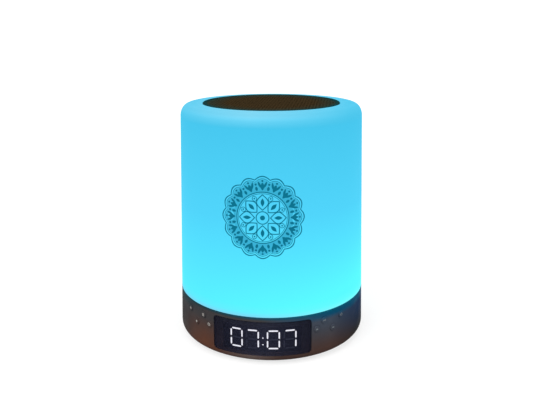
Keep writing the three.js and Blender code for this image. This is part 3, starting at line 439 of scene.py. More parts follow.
def rosette_print():
    bm = bmesh.new()
    for radius, line in ((20.6, 1.1), (19.3, 0.6)):
        printed_band(bm, radius * MM, radius * MM - INK_LINE * line, ROSETTE_SCALLOP, ROSETTE_SCALLOP)
    for radius, line in ((12.9, 1.0), (12.0, 0.5), (3.3, 0.9)):
        printed_band(bm, radius * MM, radius * MM - INK_LINE * line)
    flat_disc(bm, 1.2 * MM, 24)
    half_lobe = math.pi / ROSETTE_LOBES
    for i in range(ROSETTE_LOBES):
        turn = 2 * half_lobe * i
        between = turn + half_lobe
        printed_leaf(bm, 13.5 * MM, 17.3 * MM, 1.9 * MM, turn, point=0.5)
        printed_dot(bm, 18.1 * MM, 0.5 * MM, turn)
        for side in (-1, 1):
            aside = turn + side * 0.45 * half_lobe
            printed_leaf(bm, 14.4 * MM, 18.2 * MM, 1.1 * MM, aside, lean=side * -0.35)
        printed_leaf(bm, 13.4 * MM, 15.6 * MM, 1.3 * MM, between, point=0.4)
        printed_dot(bm, 16.6 * MM, 0.55 * MM, between)
    for i in range(ROSETTE_PETALS):
        turn = FULL_TURN * i / ROSETTE_PETALS
        between = turn + math.pi / ROSETTE_PETALS
        printed_leaf(bm, 3.6 * MM, 11.6 * MM, 6.2 * MM, turn, INK_LINE * 0.9)
        printed_leaf(bm, 5.6 * MM, 9.6 * MM, 1.8 * MM, turn)
        printed_leaf(bm, 8.6 * MM, 11.6 * MM, 2.5 * MM, between, INK_LINE * 0.6, point=0.4)
        printed_dot(bm, 10.2 * MM, 0.4 * MM, between)
    return wrap_print(bm, INK_LIFT + 2 * INK_FILM)


def ink_material(name, colour, own):
    return grained(name, scale=2500.0, mottle=0.2, colour=colour, into="Emission Color",
                   Emission_Strength=1.0, Base_Color=own, Roughness=0.6, Specular_IOR_Level=0.08)[0]


def thicken(piece, name, thickness, offset=1):
    solid = piece.modifiers.new(name, "SOLIDIFY")
    solid.thickness = thickness
    solid.offset = offset


for name, bm, colour, own in (
        ("rosette_tint", rosette_tint(), (0.030, 0.40, 0.61, 1), (0.01, 0.05, 0.07, 1)),
        ("rosette_ink", rosette_print(), (0.0, 0.135, 0.225, 1), (0.0, 0.03, 0.04, 1))):
    rosette = plain_object(bm, "shade_" + name)
    thicken(rosette, "film", INK_FILM)
    rosette.data.materials.append(ink_material(name.replace("_", " "), colour, own))
    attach(rosette, "lamp_body")


# Grille
# A sheet of fine round perforations, painted dark brown, pressed into a dark ring with a rolled edge.
# The loudspeaker plays up through it and the ring sits in the rebate of the crown.
GRILLE_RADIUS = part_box("grille")[1].x
GRILLE_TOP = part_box("grille")[1].z
GRILLE_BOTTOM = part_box("grille")[0].z
HOLE_PITCH = 1.9 * MM
HOLE_RADIUS = 0.62 * MM
SHEET_DROP = 0.35 * MM
SHEET_THICKNESS = 0.5 * MM
RING_WIDTH = 2.2 * MM
RING_ROLL = 0.4 * MM
RING_INNER = GRILLE_RADIUS - RING_WIDTH
RING_FOOT_INNER = GRILLE_RADIUS - 0.8 * MM
RING_UNDER = GRILLE_TOP - SHEET_DROP - SHEET_THICKNESS * 1.5
PLAIN_MARGIN = 2.2 * MM
GRILLE_BROWN = (0.036, 0.023, 0.010, 1)
GRILLE_EDGE_HIGHLIGHT = (0.060, 0.040, 0.018, 1)
GRILLE_RIM_GLOW = (0.014, 0.036, 0.029, 1)
RING_TEAL = (0.008, 0.036, 0.036, 1)
RING_EDGE_HIGHLIGHT = (0.008, 0.042, 0.042, 1)


def perforated_sheet():
    # Six-sided tiles in staggered columns, each with a round hole apart from the plain margin in the ring
    bm = bmesh.new()
    reach = HOLE_PITCH / math.sqrt(3)
    field = GRILLE_RADIUS - RING_WIDTH * 0.6
    rise = HOLE_PITCH * math.sqrt(3) / 2
    rows = int(field / rise) + 1
    tiles = []
    for pierced in (True, False):
        tile = bmesh.new()
        bmesh.ops.create_circle(tile, cap_ends=not pierced, radius=reach, segments=6)
        bmesh.ops.subdivide_edges(tile, edges=tile.edges[:], cuts=1)
        if pierced:
            bmesh.ops.create_circle(tile, radius=HOLE_RADIUS, segments=12)
            bmesh.ops.bridge_loops(tile, edges=tile.edges[:])
        tiles.append(bpy.data.meshes.new("tile"))
        tile.to_mesh(tiles[-1])
        tile.free()
    for row in range(-rows, rows + 1):
        for column in range(-rows, rows + 1):
            x, y = row * rise, (column + 0.5 * (row % 2)) * HOLE_PITCH
            if math.hypot(x, y) > field:
                continue
            count = len(bm.verts)
            bm.from_mesh(tiles[math.hypot(x, y) > field - PLAIN_MARGIN])
            bm.verts.ensure_lookup_table()
            placed = Matrix.Translation((x, y, 0)) @ Matrix.Rotation(math.pi / 2, 4, "Z")
            bmesh.ops.transform(bm, matrix=placed, verts=bm.verts[count:])
    for mesh in tiles:
        bpy.data.meshes.remove(mesh)
    bmesh.ops.remove_doubles(bm, verts=bm.verts, dist=0.01 * MM)
    bmesh.ops.recalc_face_normals(bm, faces=bm.faces)
    bmesh.ops.translate(bm, vec=(0, 0, GRILLE_TOP - SHEET_DROP), verts=bm.verts)
    if sum(f.normal.z for f in bm.faces) < 0:
        bmesh.ops.reverse_faces(bm, faces=bm.faces)
    return bm


def painted_metal(name, colour, edge, roughness, rim_glow=None, shine_level=0.3):
    material, tree, shader, grain = grained(name, scale=700.0, mottle=0.2, colour=colour,
                                            bump=(0.03 * MM, 0.6), Specular_IOR_Level=shine_level)
    if rim_glow:
        # Painted glow: the paint near the rim is painted teal for the lit shade's light falling on it
        axes = object_axes(tree)
        squares = [times(tree, axes[label], axes[label]) for label in "XY"]
        away = math_node(tree, "SQRT", math_node(tree, "ADD", *squares))
        near_rim = spread(tree, away, GRILLE_RADIUS * 0.64, GRILLE_RADIUS * 1.04)
        tree.links.new(mixed(tree, near_rim, colour, rim_glow), grain.inputs["Colour"])
    # Painted highlight: the edges are painted paler
    add_edge_highlight(tree, shader, grain, edge, 0.35)
    add_speckled_roughness(tree, shader, grain, roughness)
    return material


sheet = plain_object(perforated_sheet(), "grille_sheet")
thicken(sheet, "sheet thickness", SHEET_THICKNESS, -1)
sheet.data.materials.append(
    painted_metal("brown grille paint", GRILLE_BROWN, GRILLE_EDGE_HIGHLIGHT, 0.6, GRILLE_RIM_GLOW, 0.0))
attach(sheet, "lamp_body")
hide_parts("grille")

ring = smooth_object(spun([
    (RING_FOOT_INNER, GRILLE_BOTTOM), (GRILLE_RADIUS, GRILLE_BOTTOM),
    *arc(GRILLE_RADIUS - RING_ROLL, GRILLE_TOP - RING_ROLL, RING_ROLL, RING_ROLL, 0, 90, 6),
    *arc(RING_INNER + RING_ROLL, GRILLE_TOP - RING_ROLL, RING_ROLL, RING_ROLL, 90, 180, 6),
    (RING_INNER, RING_UNDER), (RING_FOOT_INNER, RING_UNDER),
], 160), "grille_ring")
# The ring's dark teal is partly its own dark colour and partly the lit shade's glow, painted on
ring.data.materials.append(
    painted_metal("dark grille ring", RING_TEAL, RING_EDGE_HIGHLIGHT, 0.6, shine_level=0.0))
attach(ring, "lamp_body")
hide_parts("grille")


# Base shell
# A dark satin moulding with a rounded foot edge, a pocket for the display window, round holes for
# the keys and openings for the sockets. Its top edge has a small chamfer that catches the light.
BASE_DRAFT = 0.45 * MM
BASE_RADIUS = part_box("base_shell")[1].x - BASE_DRAFT
BASE_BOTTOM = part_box("base_shell")[0].z
BASE_WALL = 2.5 * MM
BASE_FILLET = 4.2 * MM
BASE_CHAMFER = 0.5 * MM
BASE_DARK = (0.04, 0.036, 0.033, 1)
BASE_EDGE_HIGHLIGHT = (0.012, 0.06, 0.09, 1)
# Apart from the grey, the base tints below are painted reflections, painted shade and painted glow
BASE_BROWN_REFLECTION = (0.084, 0.047, 0.039, 1)
BASE_GREY = (0.060, 0.055, 0.057, 1)
BASE_WARM_REFLECTION = (0.145, 0.057, 0.034, 1)
BASE_FLOOR_REFLECTION = (0.175, 0.125, 0.112, 1)
BASE_SKY_REFLECTION = (0.064, 0.082, 0.115, 1)
BASE_SHADOW = (0.016, 0.017, 0.018, 1)
BASE_DEEP_BLUE_SHADE = (0.000, 0.024, 0.084, 1)
BASE_BLUE_GLOW = (0.004, 0.084, 0.172, 1)
BASE_GLOW_LEFT = (0.013, 0.046, 0.056, 1)
BASE_GLOW_RIGHT = (0.001, 0.104, 0.178, 1)
BROWN_TO_GREY = (BASE_BOTTOM + BASE_FILLET, BASE_TOP - 5.6 * MM)
PALE_STRIP = (BASE_BOTTOM + 4.6 * MM, BASE_BOTTOM + 3.6 * MM)
BLUE_HEIGHTS = (BASE_TOP - 4.8 * MM, BASE_TOP - 2.4 * MM)
RIM_HEIGHTS = (BASE_TOP - 1.6 * MM, BASE_TOP - 0.4 * MM)
LIP_INNER = BASE_RADIUS - BASE_WALL - 4.6 * MM
LIP_THICKNESS = 2.4 * MM
GAP = 0.3 * MM
KEY_GAP = 0.12 * MM
WINDOW_HALF_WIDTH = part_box("display_window")[1].x
WINDOW_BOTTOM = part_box("display_window")[0].z
WINDOW_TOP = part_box("display_window")[1].z
WINDOW_CORNER = 1.6 * MM
WINDOW_THICKNESS = 1 * MM
KEY_RADIUS = 1.8 * MM
KEYS = {
    "light_button": -51.1, "alarm_button": -44.1, "mode_button": -37.8, "clock_button": -32.9,
    "repeat_button": 51.1, "next_button": 44.1, "play_button": 37.8, "previous_button": 32.9,
}
PORTS = [
    {"turn": 178, "width": 9, "bottom": 8.2, "height": 3.2},
    {"turn": 197, "width": 13, "bottom": 8.2, "height": 1.8},
    {"turn": 149.5, "width": 4.2, "bottom": 9.3, "height": 1.4},
]
AUX_TURN = 163
AUX_HEIGHT = 10.7 * MM
AUX_NOZZLE = 2.4 * MM
TOOL_DEPTH = 8 * MM
HATCH_DEPTH = 14 * MM


def shell_radius(height):
    # The wall widens a little from its top edge down to its rounded foot
    top, foot = BASE_TOP - BASE_CHAMFER, BASE_BOTTOM + BASE_FILLET
    return BASE_RADIUS + BASE_DRAFT * (top - height) / (top - foot)


def base_outline():
    foot = arc(BASE_RADIUS + BASE_DRAFT - BASE_FILLET, BASE_BOTTOM + BASE_FILLET, BASE_FILLET, BASE_FILLET,
               -90, 0, 10)
    return [*foot, (BASE_RADIUS, BASE_TOP - BASE_CHAMFER), (BASE_RADIUS - BASE_CHAMFER, BASE_TOP)]


def shell_blank():
    inner = BASE_RADIUS - BASE_WALL
    return spun([(LIP_INNER, BASE_BOTTOM), *base_outline(), (inner, BASE_TOP),
                 (inner, BASE_BOTTOM + LIP_THICKNESS + BASE_FILLET / 2),
                 (inner - BASE_FILLET / 2, BASE_BOTTOM + LIP_THICKNESS),
                 (LIP_INNER, BASE_BOTTOM + LIP_THICKNESS)])


def window_blank(depth, proud):
    outer, inner = [], []
    centre = BASE_BOTTOM + BASE_FILLET
    for r, z in base_outline():
        slope = math.acos(min(1.0, max(0.0, (centre - z) / BASE_FILLET))) if z < centre else math.pi / 2
        outer.append((r + proud * math.sin(slope), z - proud * math.cos(slope)))
        inner.append((r - depth * math.sin(slope), z + depth * math.cos(slope)))
    outer[-1] = (outer[-2][0], BASE_TOP + proud)
    inner[-1] = (inner[-2][0], BASE_TOP + proud)
    return spun([*outer, *reversed(inner)])


def window_prism(grow):
    # The rounded outline of the window, pushed through the front of the shell
    bm = bmesh.new()
    half, corner = WINDOW_HALF_WIDTH + grow, WINDOW_CORNER + grow
    bottom, top = WINDOW_BOTTOM - grow, WINDOW_TOP + grow
    right, low, high = half - corner, bottom + corner, top - corner
    outline = []
    for i, (x, z) in enumerate(((right, low), (right, high), (-right, high), (-right, low))):
        outline += arc(x, z, corner, corner, 90 * i - 90, 90 * i, 6)
    face = bm.faces.new([bm.verts.new((x, -BASE_RADIUS - 2 * MM, z)) for x, z in outline])
    made = bmesh.ops.extrude_face_region(bm, geom=[face])
    moved = [v for v in made["geom"] if isinstance(v, bmesh.types.BMVert)]
    bmesh.ops.translate(bm, vec=(0, BASE_RADIUS * 0.75, 0), verts=moved)
    return bm


def tool_object(bm, name):
    bmesh.ops.recalc_face_normals(bm, faces=bm.faces)
    return plain_object(bm, name)


def carve(piece, tool, operation="DIFFERENCE"):
    # Cuts or trims a piece with a tool and throws the tool away
    step = piece.modifiers.new(tool.name, "BOOLEAN")
    step.operation = operation
    step.solver = "EXACT"
    step.object = tool
    graph = bpy.context.evaluated_depsgraph_get()
    result = bpy.data.meshes.new_from_object(piece.evaluated_get(graph))
    piece.modifiers.clear()
    old = piece.data
    piece.data = result
    bpy.data.meshes.remove(old)
    bpy.data.objects.remove(tool)


def outwards(turn):
    # Takes a shape that faces -Y to face outwards at that turn from the front
    return Matrix.Rotation(math.radians(turn), 4, "Z")


def on_shell(turn, out, height):
    # Stands a shape drawn in the X and Y plane up at that turn, facing outwards
    return outwards(turn) @ Matrix.Translation((0, -out, height)) @ Matrix.Rotation(math.pi / 2, 4, "X")


def round_tool(radius, turn, height, name):
    bm = bmesh.new()
    bmesh.ops.create_cone(bm, cap_ends=True, segments=32, radius1=radius, radius2=radius, depth=TOOL_DEPTH,
                          matrix=on_shell(turn, BASE_RADIUS, height))
    return tool_object(bm, name)


def box_tool(middle, size, name):
    bm = bmesh.new()
    bmesh.ops.create_cube(bm, size=1, matrix=Matrix.Translation(middle) @ Matrix.Diagonal((*size, 1)))
    return tool_object(bm, name)


def slot_tool(turn, width, bottom, height):
    bm = bmesh.new()
    place = outwards(turn) @ Matrix.Translation((0, -BASE_RADIUS, (bottom + height / 2) * MM))
    width, height = width * MM + 2 * GAP, height * MM + 2 * GAP
    bmesh.ops.create_cube(bm, size=1, matrix=place @ Matrix.Diagonal((width, TOOL_DEPTH, height, 1)))
    inward = [e for e in bm.edges if abs((e.verts[0].co - e.verts[1].co).length - TOOL_DEPTH) < 0.01 * MM]
    bmesh.ops.bevel(bm, geom=inward, offset=min(height * 0.3, 0.8 * MM), offset_type="OFFSET", segments=4,
                    profile=0.5, affect="EDGES", material=-1)
    return tool_object(bm, "port")


def joined_tools(parts, name):
    bm = bmesh.new()
    for part in parts:
        bm.from_mesh(part.data)
        bpy.data.objects.remove(part)
    return plain_object(bm, name)


def dark_plastic(name, colour, roughness, painted_light=True):
    material, tree, shader, grain = grained(name, scale=1600.0, mottle=0.14, colour=colour,
                                            bump=(0.02 * MM, 0.4), Specular_IOR_Level=0.015)
    if painted_light:
        # Painted reflections make it brown at the foot fading to grey higher up, with a warm patch on the
        # left, a pale floor reflection under the window and sky blue on the right; painted shade darkens
        # both ends, and painted glow of the shade lies in blue near the top and along the top edge
        axes = object_axes(tree)
        side = spread(tree, axes["X"], -BASE_RADIUS, BASE_RADIUS)
        height, strip, near_top, rim_glow = (spread(tree, axes["Z"], *ends) for ends in (
            BROWN_TO_GREY, PALE_STRIP, BLUE_HEIGHTS, RIM_HEIGHTS))
        low = math_node(tree, "SUBTRACT", 1.0, height)
        painted_base_colour = mixed(tree, height, BASE_BROWN_REFLECTION, BASE_GREY)
        painted_end_shade = mixed(tree, times(tree, height, side), BASE_SHADOW, BASE_DEEP_BLUE_SHADE)
        for place, level, over in (
                ([(0.06, 0), (0.2, 1), (0.45, 0)], low, BASE_WARM_REFLECTION),
                ([(0.27, 0), (0.45, 1), (0.6, 0)], strip, BASE_FLOOR_REFLECTION),
                ([(0.5, 0), (0.82, 1)], math_node(tree, "POWER", height, 1.5), BASE_SKY_REFLECTION),
                ([(0.0, 1), (0.13, 0), (0.84, 0), (0.93, 0.6), (0.98, 1)], 1.0, painted_end_shade),
                ([(0.04, 0.9), (0.2, 0)], near_top, BASE_GLOW_LEFT),
                ([(0.5, 0), (0.84, 1)], near_top, BASE_BLUE_GLOW)):
            mask = times(tree, level_ramp(tree, side, place), level)
            painted_base_colour = mixed(tree, mask, painted_base_colour, over)
        painted_base_colour = mixed(tree, rim_glow, painted_base_colour, ramp(tree, side, [(0.2, BASE_GLOW_LEFT), (0.85, BASE_GLOW_RIGHT)]))
        tree.links.new(painted_base_colour, grain.inputs["Colour"])
    # Painted highlight: the edges are painted paler
    add_edge_highlight(tree, shader, grain, BASE_EDGE_HIGHLIGHT, 0.2)
    add_speckled_roughness(tree, shader, grain, roughness)
    return material


def paint(piece, material):
    # A cut piece keeps the empty slots of its tools until they are cleared
    piece.data.materials.clear()
    piece.data.materials.append(material)


BASE_PLASTIC = dark_plastic("satin base plastic", BASE_DARK, 0.55)
key_heights = {name: (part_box(name)[0].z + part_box(name)[1].z) / 2 for name in KEYS}
shell = smooth_object(shell_blank(), "base_body")
pocket = tool_object(window_blank(WINDOW_THICKNESS + GAP, 1 * MM), "pocket")
carve(pocket, tool_object(window_prism(GAP), "pocket outline"), "INTERSECT")
carve(shell, pocket)
through = [round_tool(KEY_RADIUS + KEY_GAP, turn, key_heights[name], name + " hole")
           for name, turn in KEYS.items()]
through += [slot_tool(**port) for port in PORTS]
through.append(round_tool(AUX_NOZZLE + GAP, AUX_TURN, AUX_HEIGHT, "aux hole"))
carve(shell, joined_tools(through, "through holes"))
display_low, display_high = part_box("display_reflector")
display_middle = (display_low.z + display_high.z) / 2
hatch_size = (display_high.x * 2 + 2 * GAP, HATCH_DEPTH, display_high.z - display_low.z + 2 * GAP)
carve(shell, box_tool((0, -BASE_RADIUS, display_middle), hatch_size, "display hatch"))
smooth_faces(shell.data)
paint(shell, BASE_PLASTIC)
soft = shell.modifiers.new("softened edges", "BEVEL")
soft.width = 0.12 * MM
soft.segments = 2
soft.limit_method = "ANGLE"
soft.angle_limit = math.radians(40)
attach(shell, "lamp_body")
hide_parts("base_shell")


# Display
# A smoked window follows the round of the shell over a black block, whose wells are lit white from
# behind. The clock reads 07:07; the segments that are off still show faintly through the smoke.
DISPLAY_TURN = 1.0
DIGIT_MARGIN = 1.45 * MM
DIGIT_SPACING = 8.4 * MM
DIGIT_WIDTH = 6.6 * MM
DIGIT_HEIGHT = display_high.z - display_low.z - 2 * DIGIT_MARGIN
SEGMENT_WIDTH = 0.72 * MM
SEGMENT_GAP = 0.48 * MM
COLON_RADIUS = 0.32 * MM
COLON_SPREAD = 3.6 * MM
COLON_DROP = 0.9 * MM
COLON_ROOM = 2.1 * MM
SEGMENT_DEPTH = 0.1 * MM
DISPLAY_FRONT = -display_low.y
BLOCK_INNER = 12 * MM
READING = "0707"
LIT = {"0": "abcdef", "7": "abc"}
DIGIT_WHITE = (0.92, 0.92, 1.0, 1)
DIGIT_OFF = (0.03, 0.035, 0.07, 1)
BLOCK_BLACK = (0.004, 0.004, 0.010, 1)
SMOKE_SHADED_END = (0.019, 0.020, 0.038, 1)
SMOKE_MIDDLE = (0.037, 0.040, 0.070, 1)


def smoked_glass():
    material, tree, _, grain = grained("smoked window", scale=300.0, mottle=0.1, Roughness=0.25,
                                       Specular_IOR_Level=0.01, Alpha=0.5)
    # Painted shade: the smoke is painted darker towards both ends than in the middle
    side = spread(tree, object_axes(tree)["X"], -WINDOW_HALF_WIDTH, WINDOW_HALF_WIDTH)
    smoke = ramp(tree, side, [(0.0, SMOKE_SHADED_END), (0.52, SMOKE_MIDDLE), (1.0, SMOKE_SHADED_END)])
    tree.links.new(smoke, grain.inputs["Colour"])
    return material


lens = smooth_object(window_blank(WINDOW_THICKNESS, 0), "display_lens")
carve(lens, tool_object(window_prism(0), "lens outline"), "INTERSECT")
smooth_faces(lens.data)
paint(lens, smoked_glass())
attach(lens, "lamp_body")
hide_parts("display_window")


def display_block():
    block = tool_object(spun([
        (BLOCK_INNER, display_low.z), (DISPLAY_FRONT, display_low.z), (DISPLAY_FRONT, display_high.z),
        (BLOCK_INNER, display_high.z)]), "display_block")
    # The trimming box stands past the block in front, above and below
    depth = display_high.y - display_low.y
    middle = (0, display_high.y - depth / 2 - MM, display_middle)
    box = box_tool(middle, (display_high.x * 2, depth + 2 * MM, 30 * MM), "block outline")
    carve(block, box, "INTERSECT")
    smooth_faces(block.data)
    return block


def moulded_plastic(name, colour, roughness, mottle=0.05, shine_level=0.5):
    return grained(name, scale=1500.0, mottle=mottle, colour=colour, bump=(0.02 * MM, 0.5),
                   Roughness=roughness, Specular_IOR_Level=shine_level)[0]


block = display_block()
paint(block, moulded_plastic("black display block", BLOCK_BLACK, 0.7, 0.1, 0.0))
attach(block, "lamp_body")
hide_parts("display_reflector")


def add_segment(bm, centre, length, upright):
    # A flat bar with pointed ends
    half, reach = SEGMENT_WIDTH / 2, length / 2
    corners = [(-reach, 0), (half - reach, -half), (reach - half, -half), (reach, 0), (reach - half, half),
               (half - reach, half)]
    if upright:
        corners = [(-y, x) for x, y in corners]
    bm.faces.new([bm.verts.new((centre[0] + x, centre[1] + y, 0)) for x, y in corners])


def segment_places():
    across, up = DIGIT_WIDTH - SEGMENT_WIDTH, (DIGIT_HEIGHT - SEGMENT_WIDTH) / 2
    level, tall = across - 2 * SEGMENT_GAP, up - 2 * SEGMENT_GAP
    return {
        "a": ((0, up), level, False), "g": ((0, 0), level, False), "d": ((0, -up), level, False),
        "f": ((-across / 2, up / 2), tall, True), "b": ((across / 2, up / 2), tall, True),
        "e": ((-across / 2, -up / 2), tall, True), "c": ((across / 2, -up / 2), tall, True),
    }


def clock_segments(lit):
    bm = bmesh.new()
    for place, digit in enumerate(READING):
        before = set(bm.verts)
        for name, (centre, length, upright) in segment_places().items():
            if (name in LIT[digit]) == lit:
                add_segment(bm, centre, length, upright)
        along = (place - 1.5) * DIGIT_SPACING + math.copysign(COLON_ROOM / 2, place - 1.5)
        turn = DISPLAY_TURN + math.degrees(along / DISPLAY_FRONT)
        place_new(bm, before, on_shell(turn, DISPLAY_FRONT, display_middle))
    if lit:
        before = set(bm.verts)
        for side in (-1, 1):
            flat_disc(bm, COLON_RADIUS, 16, (0, side * COLON_SPREAD / 2 - COLON_DROP))
        place_new(bm, before, on_shell(DISPLAY_TURN, DISPLAY_FRONT, display_middle))
    face_outwards(bm)
    return bm


def lamp_white(name, colour, strength):
    return grained(name, scale=1800.0, mottle=0.12, colour=colour, into="Emission Color",
                   Base_Color=(0.05, 0.05, 0.06, 1), Emission_Strength=strength)[0]


# The lit segments glow; the off segments are given a faint painted glow
for name, lit, colour, strength in (("clock_digits_lit", True, DIGIT_WHITE, 3.6),
                                    ("clock_digits_off", False, DIGIT_OFF, 0.6)):
    digits = plain_object(clock_segments(lit), name)
    thicken(digits, "segment depth", SEGMENT_DEPTH)
    digits.data.materials.append(lamp_white(name.replace("_", " "), colour, strength))
    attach(digits, "lamp_body")


# Keys
# Small round caps of the base's plastic, four on each side of the window, just proud of the shell.
# Each slides in its own hole, has a softly rolled edge and a pale printed sign.
KEY_PROUD = 0.35 * MM
KEY_EDGE = 0.3 * MM
KEY_FLANGE_RADIUS = 2.3 * MM
KEY_FLANGE_FRONT = 47.5 * MM
KEY_FLANGE_BACK = 46.7 * MM
KEY_STEM_RADIUS = 0.9 * MM
KEY_STEM_END = 45.9 * MM
SIGN_SIZE = 0.9 * MM
SIGN_LINE = 1 / 3
SIGN_SUNK = 0.06 * MM
SIGN_FILM = 0.08 * MM
SIGN_PALE = (0.50, 0.47, 0.44, 1)
SIGN_SHADED = (0.20, 0.23, 0.25, 1)


def key_cap(turn, height, name):
    tip = shell_radius(height) + KEY_PROUD
    bm = spun([
        (0, KEY_STEM_END), (KEY_STEM_RADIUS, KEY_STEM_END), (KEY_STEM_RADIUS, KEY_FLANGE_BACK),
        (KEY_FLANGE_RADIUS, KEY_FLANGE_BACK), (KEY_FLANGE_RADIUS, KEY_FLANGE_FRONT),
        (KEY_RADIUS, KEY_FLANGE_FRONT),
        *arc(KEY_RADIUS - KEY_EDGE, tip - KEY_EDGE, KEY_EDGE, KEY_EDGE, 0, 90, 5), (0, tip),
    ], 32, closed=False)
    bmesh.ops.transform(bm, matrix=on_shell(turn, 0, height), verts=bm.verts)
    return smooth_object(bm, name)


# The signs are drawn in units of SIGN_SIZE
def bar(bm, centre, width, height, turn=0.0):
    place = Matrix.Translation((*centre, 0)) @ Matrix.Rotation(turn, 4, "Z")
    bmesh.ops.create_grid(bm, x_segments=1, y_segments=1, size=0.5,
                          matrix=place @ Matrix.Diagonal((width, height, 1, 1)))


def arrow(bm, x, direction, size=1.0):
    bmesh.ops.create_circle(bm, cap_ends=True, radius=0.62 * size, segments=3, matrix=(
        Matrix.Translation((x, 0, 0)) @ Matrix.Rotation(-direction * math.pi / 2, 4, "Z")))


def light_sign(bm):
    flat_disc(bm, 0.42, 16)
    for i in range(8):
        a = math.radians(45 * i)
        bar(bm, (0.82 * math.cos(a), 0.82 * math.sin(a)), 0.34, SIGN_LINE * 0.7, a)


def alarm_sign(bm):
    for v in flat_disc(bm, 0.7, 16):
        v.co.x *= 1.0 if v.co.y < 0 else 0.8
        v.co.y = max(v.co.y, -0.45)
    bar(bm, (0, -0.72), 0.5, SIGN_LINE * 0.8)


def mode_sign(bm):
    for y in (-0.6, 0, 0.6):
        bar(bm, (0, y), 1.5, SIGN_LINE)


def clock_sign(bm):
    open_middle(bm, flat_disc(bm, 0.95, 24), SIGN_LINE * 0.9)
    bar(bm, (0, 0.22), SIGN_LINE * 0.8, 0.6)
    bar(bm, (0.2, 0), 0.5, SIGN_LINE * 0.8)


def repeat_sign(bm):
    open_middle(bm, flat_disc(bm, 0.85, 24), SIGN_LINE)
    arrow(bm, 0.75, 1, 0.55)


def next_sign(bm):
    arrow(bm, -0.15, 1)
    bar(bm, (0.62, 0), SIGN_LINE, 1.1)


def play_sign(bm):
    arrow(bm, -0.4, 1)
    for x in (0.35, 0.8):
        bar(bm, (x, 0), SIGN_LINE * 0.8, 1.1)


def previous_sign(bm):
    arrow(bm, 0.15, -1)
    bar(bm, (-0.62, 0), SIGN_LINE, 1.1)


SIGNS = [light_sign, alarm_sign, mode_sign, clock_sign, repeat_sign, next_sign, play_sign, previous_sign]


def sign_ink():
    material, tree, _, grain = grained("pale sign ink", scale=3000.0, mottle=0.2, Roughness=0.6,
                                       Specular_IOR_Level=0.1)
    # The signs on the right are painted dimmer, a painted shade as the light falls from the left
    side = spread(tree, object_axes(tree)["X"], -BASE_RADIUS, BASE_RADIUS)
    tree.links.new(ramp(tree, side, [(0.3, SIGN_PALE), (0.7, SIGN_SHADED)]), grain.inputs["Colour"])
    return material


SIGN_INK = sign_ink()
for (name, turn), draw_sign in zip(KEYS.items(), SIGNS):
    height = key_heights[name]
    cap = key_cap(turn, height, name + "_cap")
    cap.data.materials.append(BASE_PLASTIC)
    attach(cap, name.replace("_button", "_key"))
    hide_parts(name)
    bm = bmesh.new()
    draw_sign(bm)
    place = on_shell(turn, shell_radius(height) + KEY_PROUD - SIGN_SUNK, height)
    bmesh.ops.transform(bm, matrix=place @ Matrix.Diagonal((SIGN_SIZE, SIGN_SIZE, 1, 1)), verts=bm.verts)
    face_outwards(bm)
    sign = plain_object(bm, name + "_sign")
    thicken(sign, "ink film", SIGN_FILM)
    sign.data.materials.append(SIGN_INK)
    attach(sign, name.replace("_button", "_key"))


# Foot ring
# A soft black silicone ring pressed into a groove of the bottom cover, so the lamp doesn't slide.
foot_low, foot_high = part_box("foot_ring")
FOOT_OUTER = foot_high.x
FOOT_INNER = FOOT_OUTER - 4.5 * MM
FOOT_EDGE = 0.5 * MM
foot = smooth_object(spun([
    (FOOT_INNER + FOOT_EDGE, foot_low.z),
    *arc(FOOT_OUTER - FOOT_EDGE, foot_low.z + FOOT_EDGE, FOOT_EDGE, FOOT_EDGE, -90, 0, 6),
    (FOOT_OUTER, foot_high.z), (FOOT_INNER, foot_high.z),
    *arc(FOOT_INNER + FOOT_EDGE, foot_low.z + FOOT_EDGE, FOOT_EDGE, FOOT_EDGE, 180, 264, 5),
], 128), "foot_ring_soft")


def rubber(name, colour):
    return grained(name, scale=2200.0, mottle=0.25, colour=colour, bump=(0.03 * MM, 0.8),
                   Roughness=0.85)[0]


foot.data.materials.append(rubber("foot silicone", (0.012, 0.012, 0.013, 1)))
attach(foot, "lamp_body")
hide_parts("foot_ring")


# Metal parts
# Screws, socket shells, plates and the contact leaf are plated or bare metal with drawn streaks.
def plated(name, colour, roughness, streak=(400.0, 400.0, 4000.0), metallic=1.0):
    material, tree, shader, grain = grained(name, scale=1200.0, mottle=0.12, colour=colour,
                                            Metallic=metallic)
    stretch = tree.nodes.new("ShaderNodeMapping")
    stretch.inputs["Scale"].default_value = streak
    tree.links.new(object_place(tree), stretch.inputs["Vector"])
    streaks = noise(tree, stretch.outputs["Vector"], 1.0, 3)
    # Painted highlight: the edges are painted nearly white
    add_edge_highlight(tree, shader, grain, (0.9, 0.9, 0.9, 1), 0.25)
    rough = spread(tree, streaks, 0.5 - roughness, 1.5 - roughness)
    tree.links.new(rough, shader.inputs["Roughness"])
    add_bump(tree, shader, streaks, 0.01 * MM, 0.5)
    return material


def dress(material, *names):
    for name in names:
        paint(nodes[name], material)


screws = [name for name in nodes if "_screw_" in name]
dress(plated("plated steel", (0.42, 0.42, 0.44, 1), 0.32), *screws)
dress(plated("socket plating", (0.55, 0.56, 0.58, 1), 0.28), "usb_socket", "card_socket", "switch_body")
dress(plated("iron plates", (0.36, 0.37, 0.38, 1), 0.4), "driver_top_plate", "driver_yoke")
dress(plated("ferrite", (0.03, 0.03, 0.032, 1), 0.7, metallic=0.2), "driver_magnet")
dress(plated("brass leaf", (0.55, 0.38, 0.12, 1), 0.3), "touch_contact")
dress(plated("copper winding", (0.45, 0.17, 0.06, 1), 0.35, streak=(200.0, 200.0, 9000.0)), "voice_coil")
dress(painted_metal("basket paint", (0.022, 0.023, 0.026, 1), (0.10, 0.10, 0.11, 1), 0.5), "driver_basket")


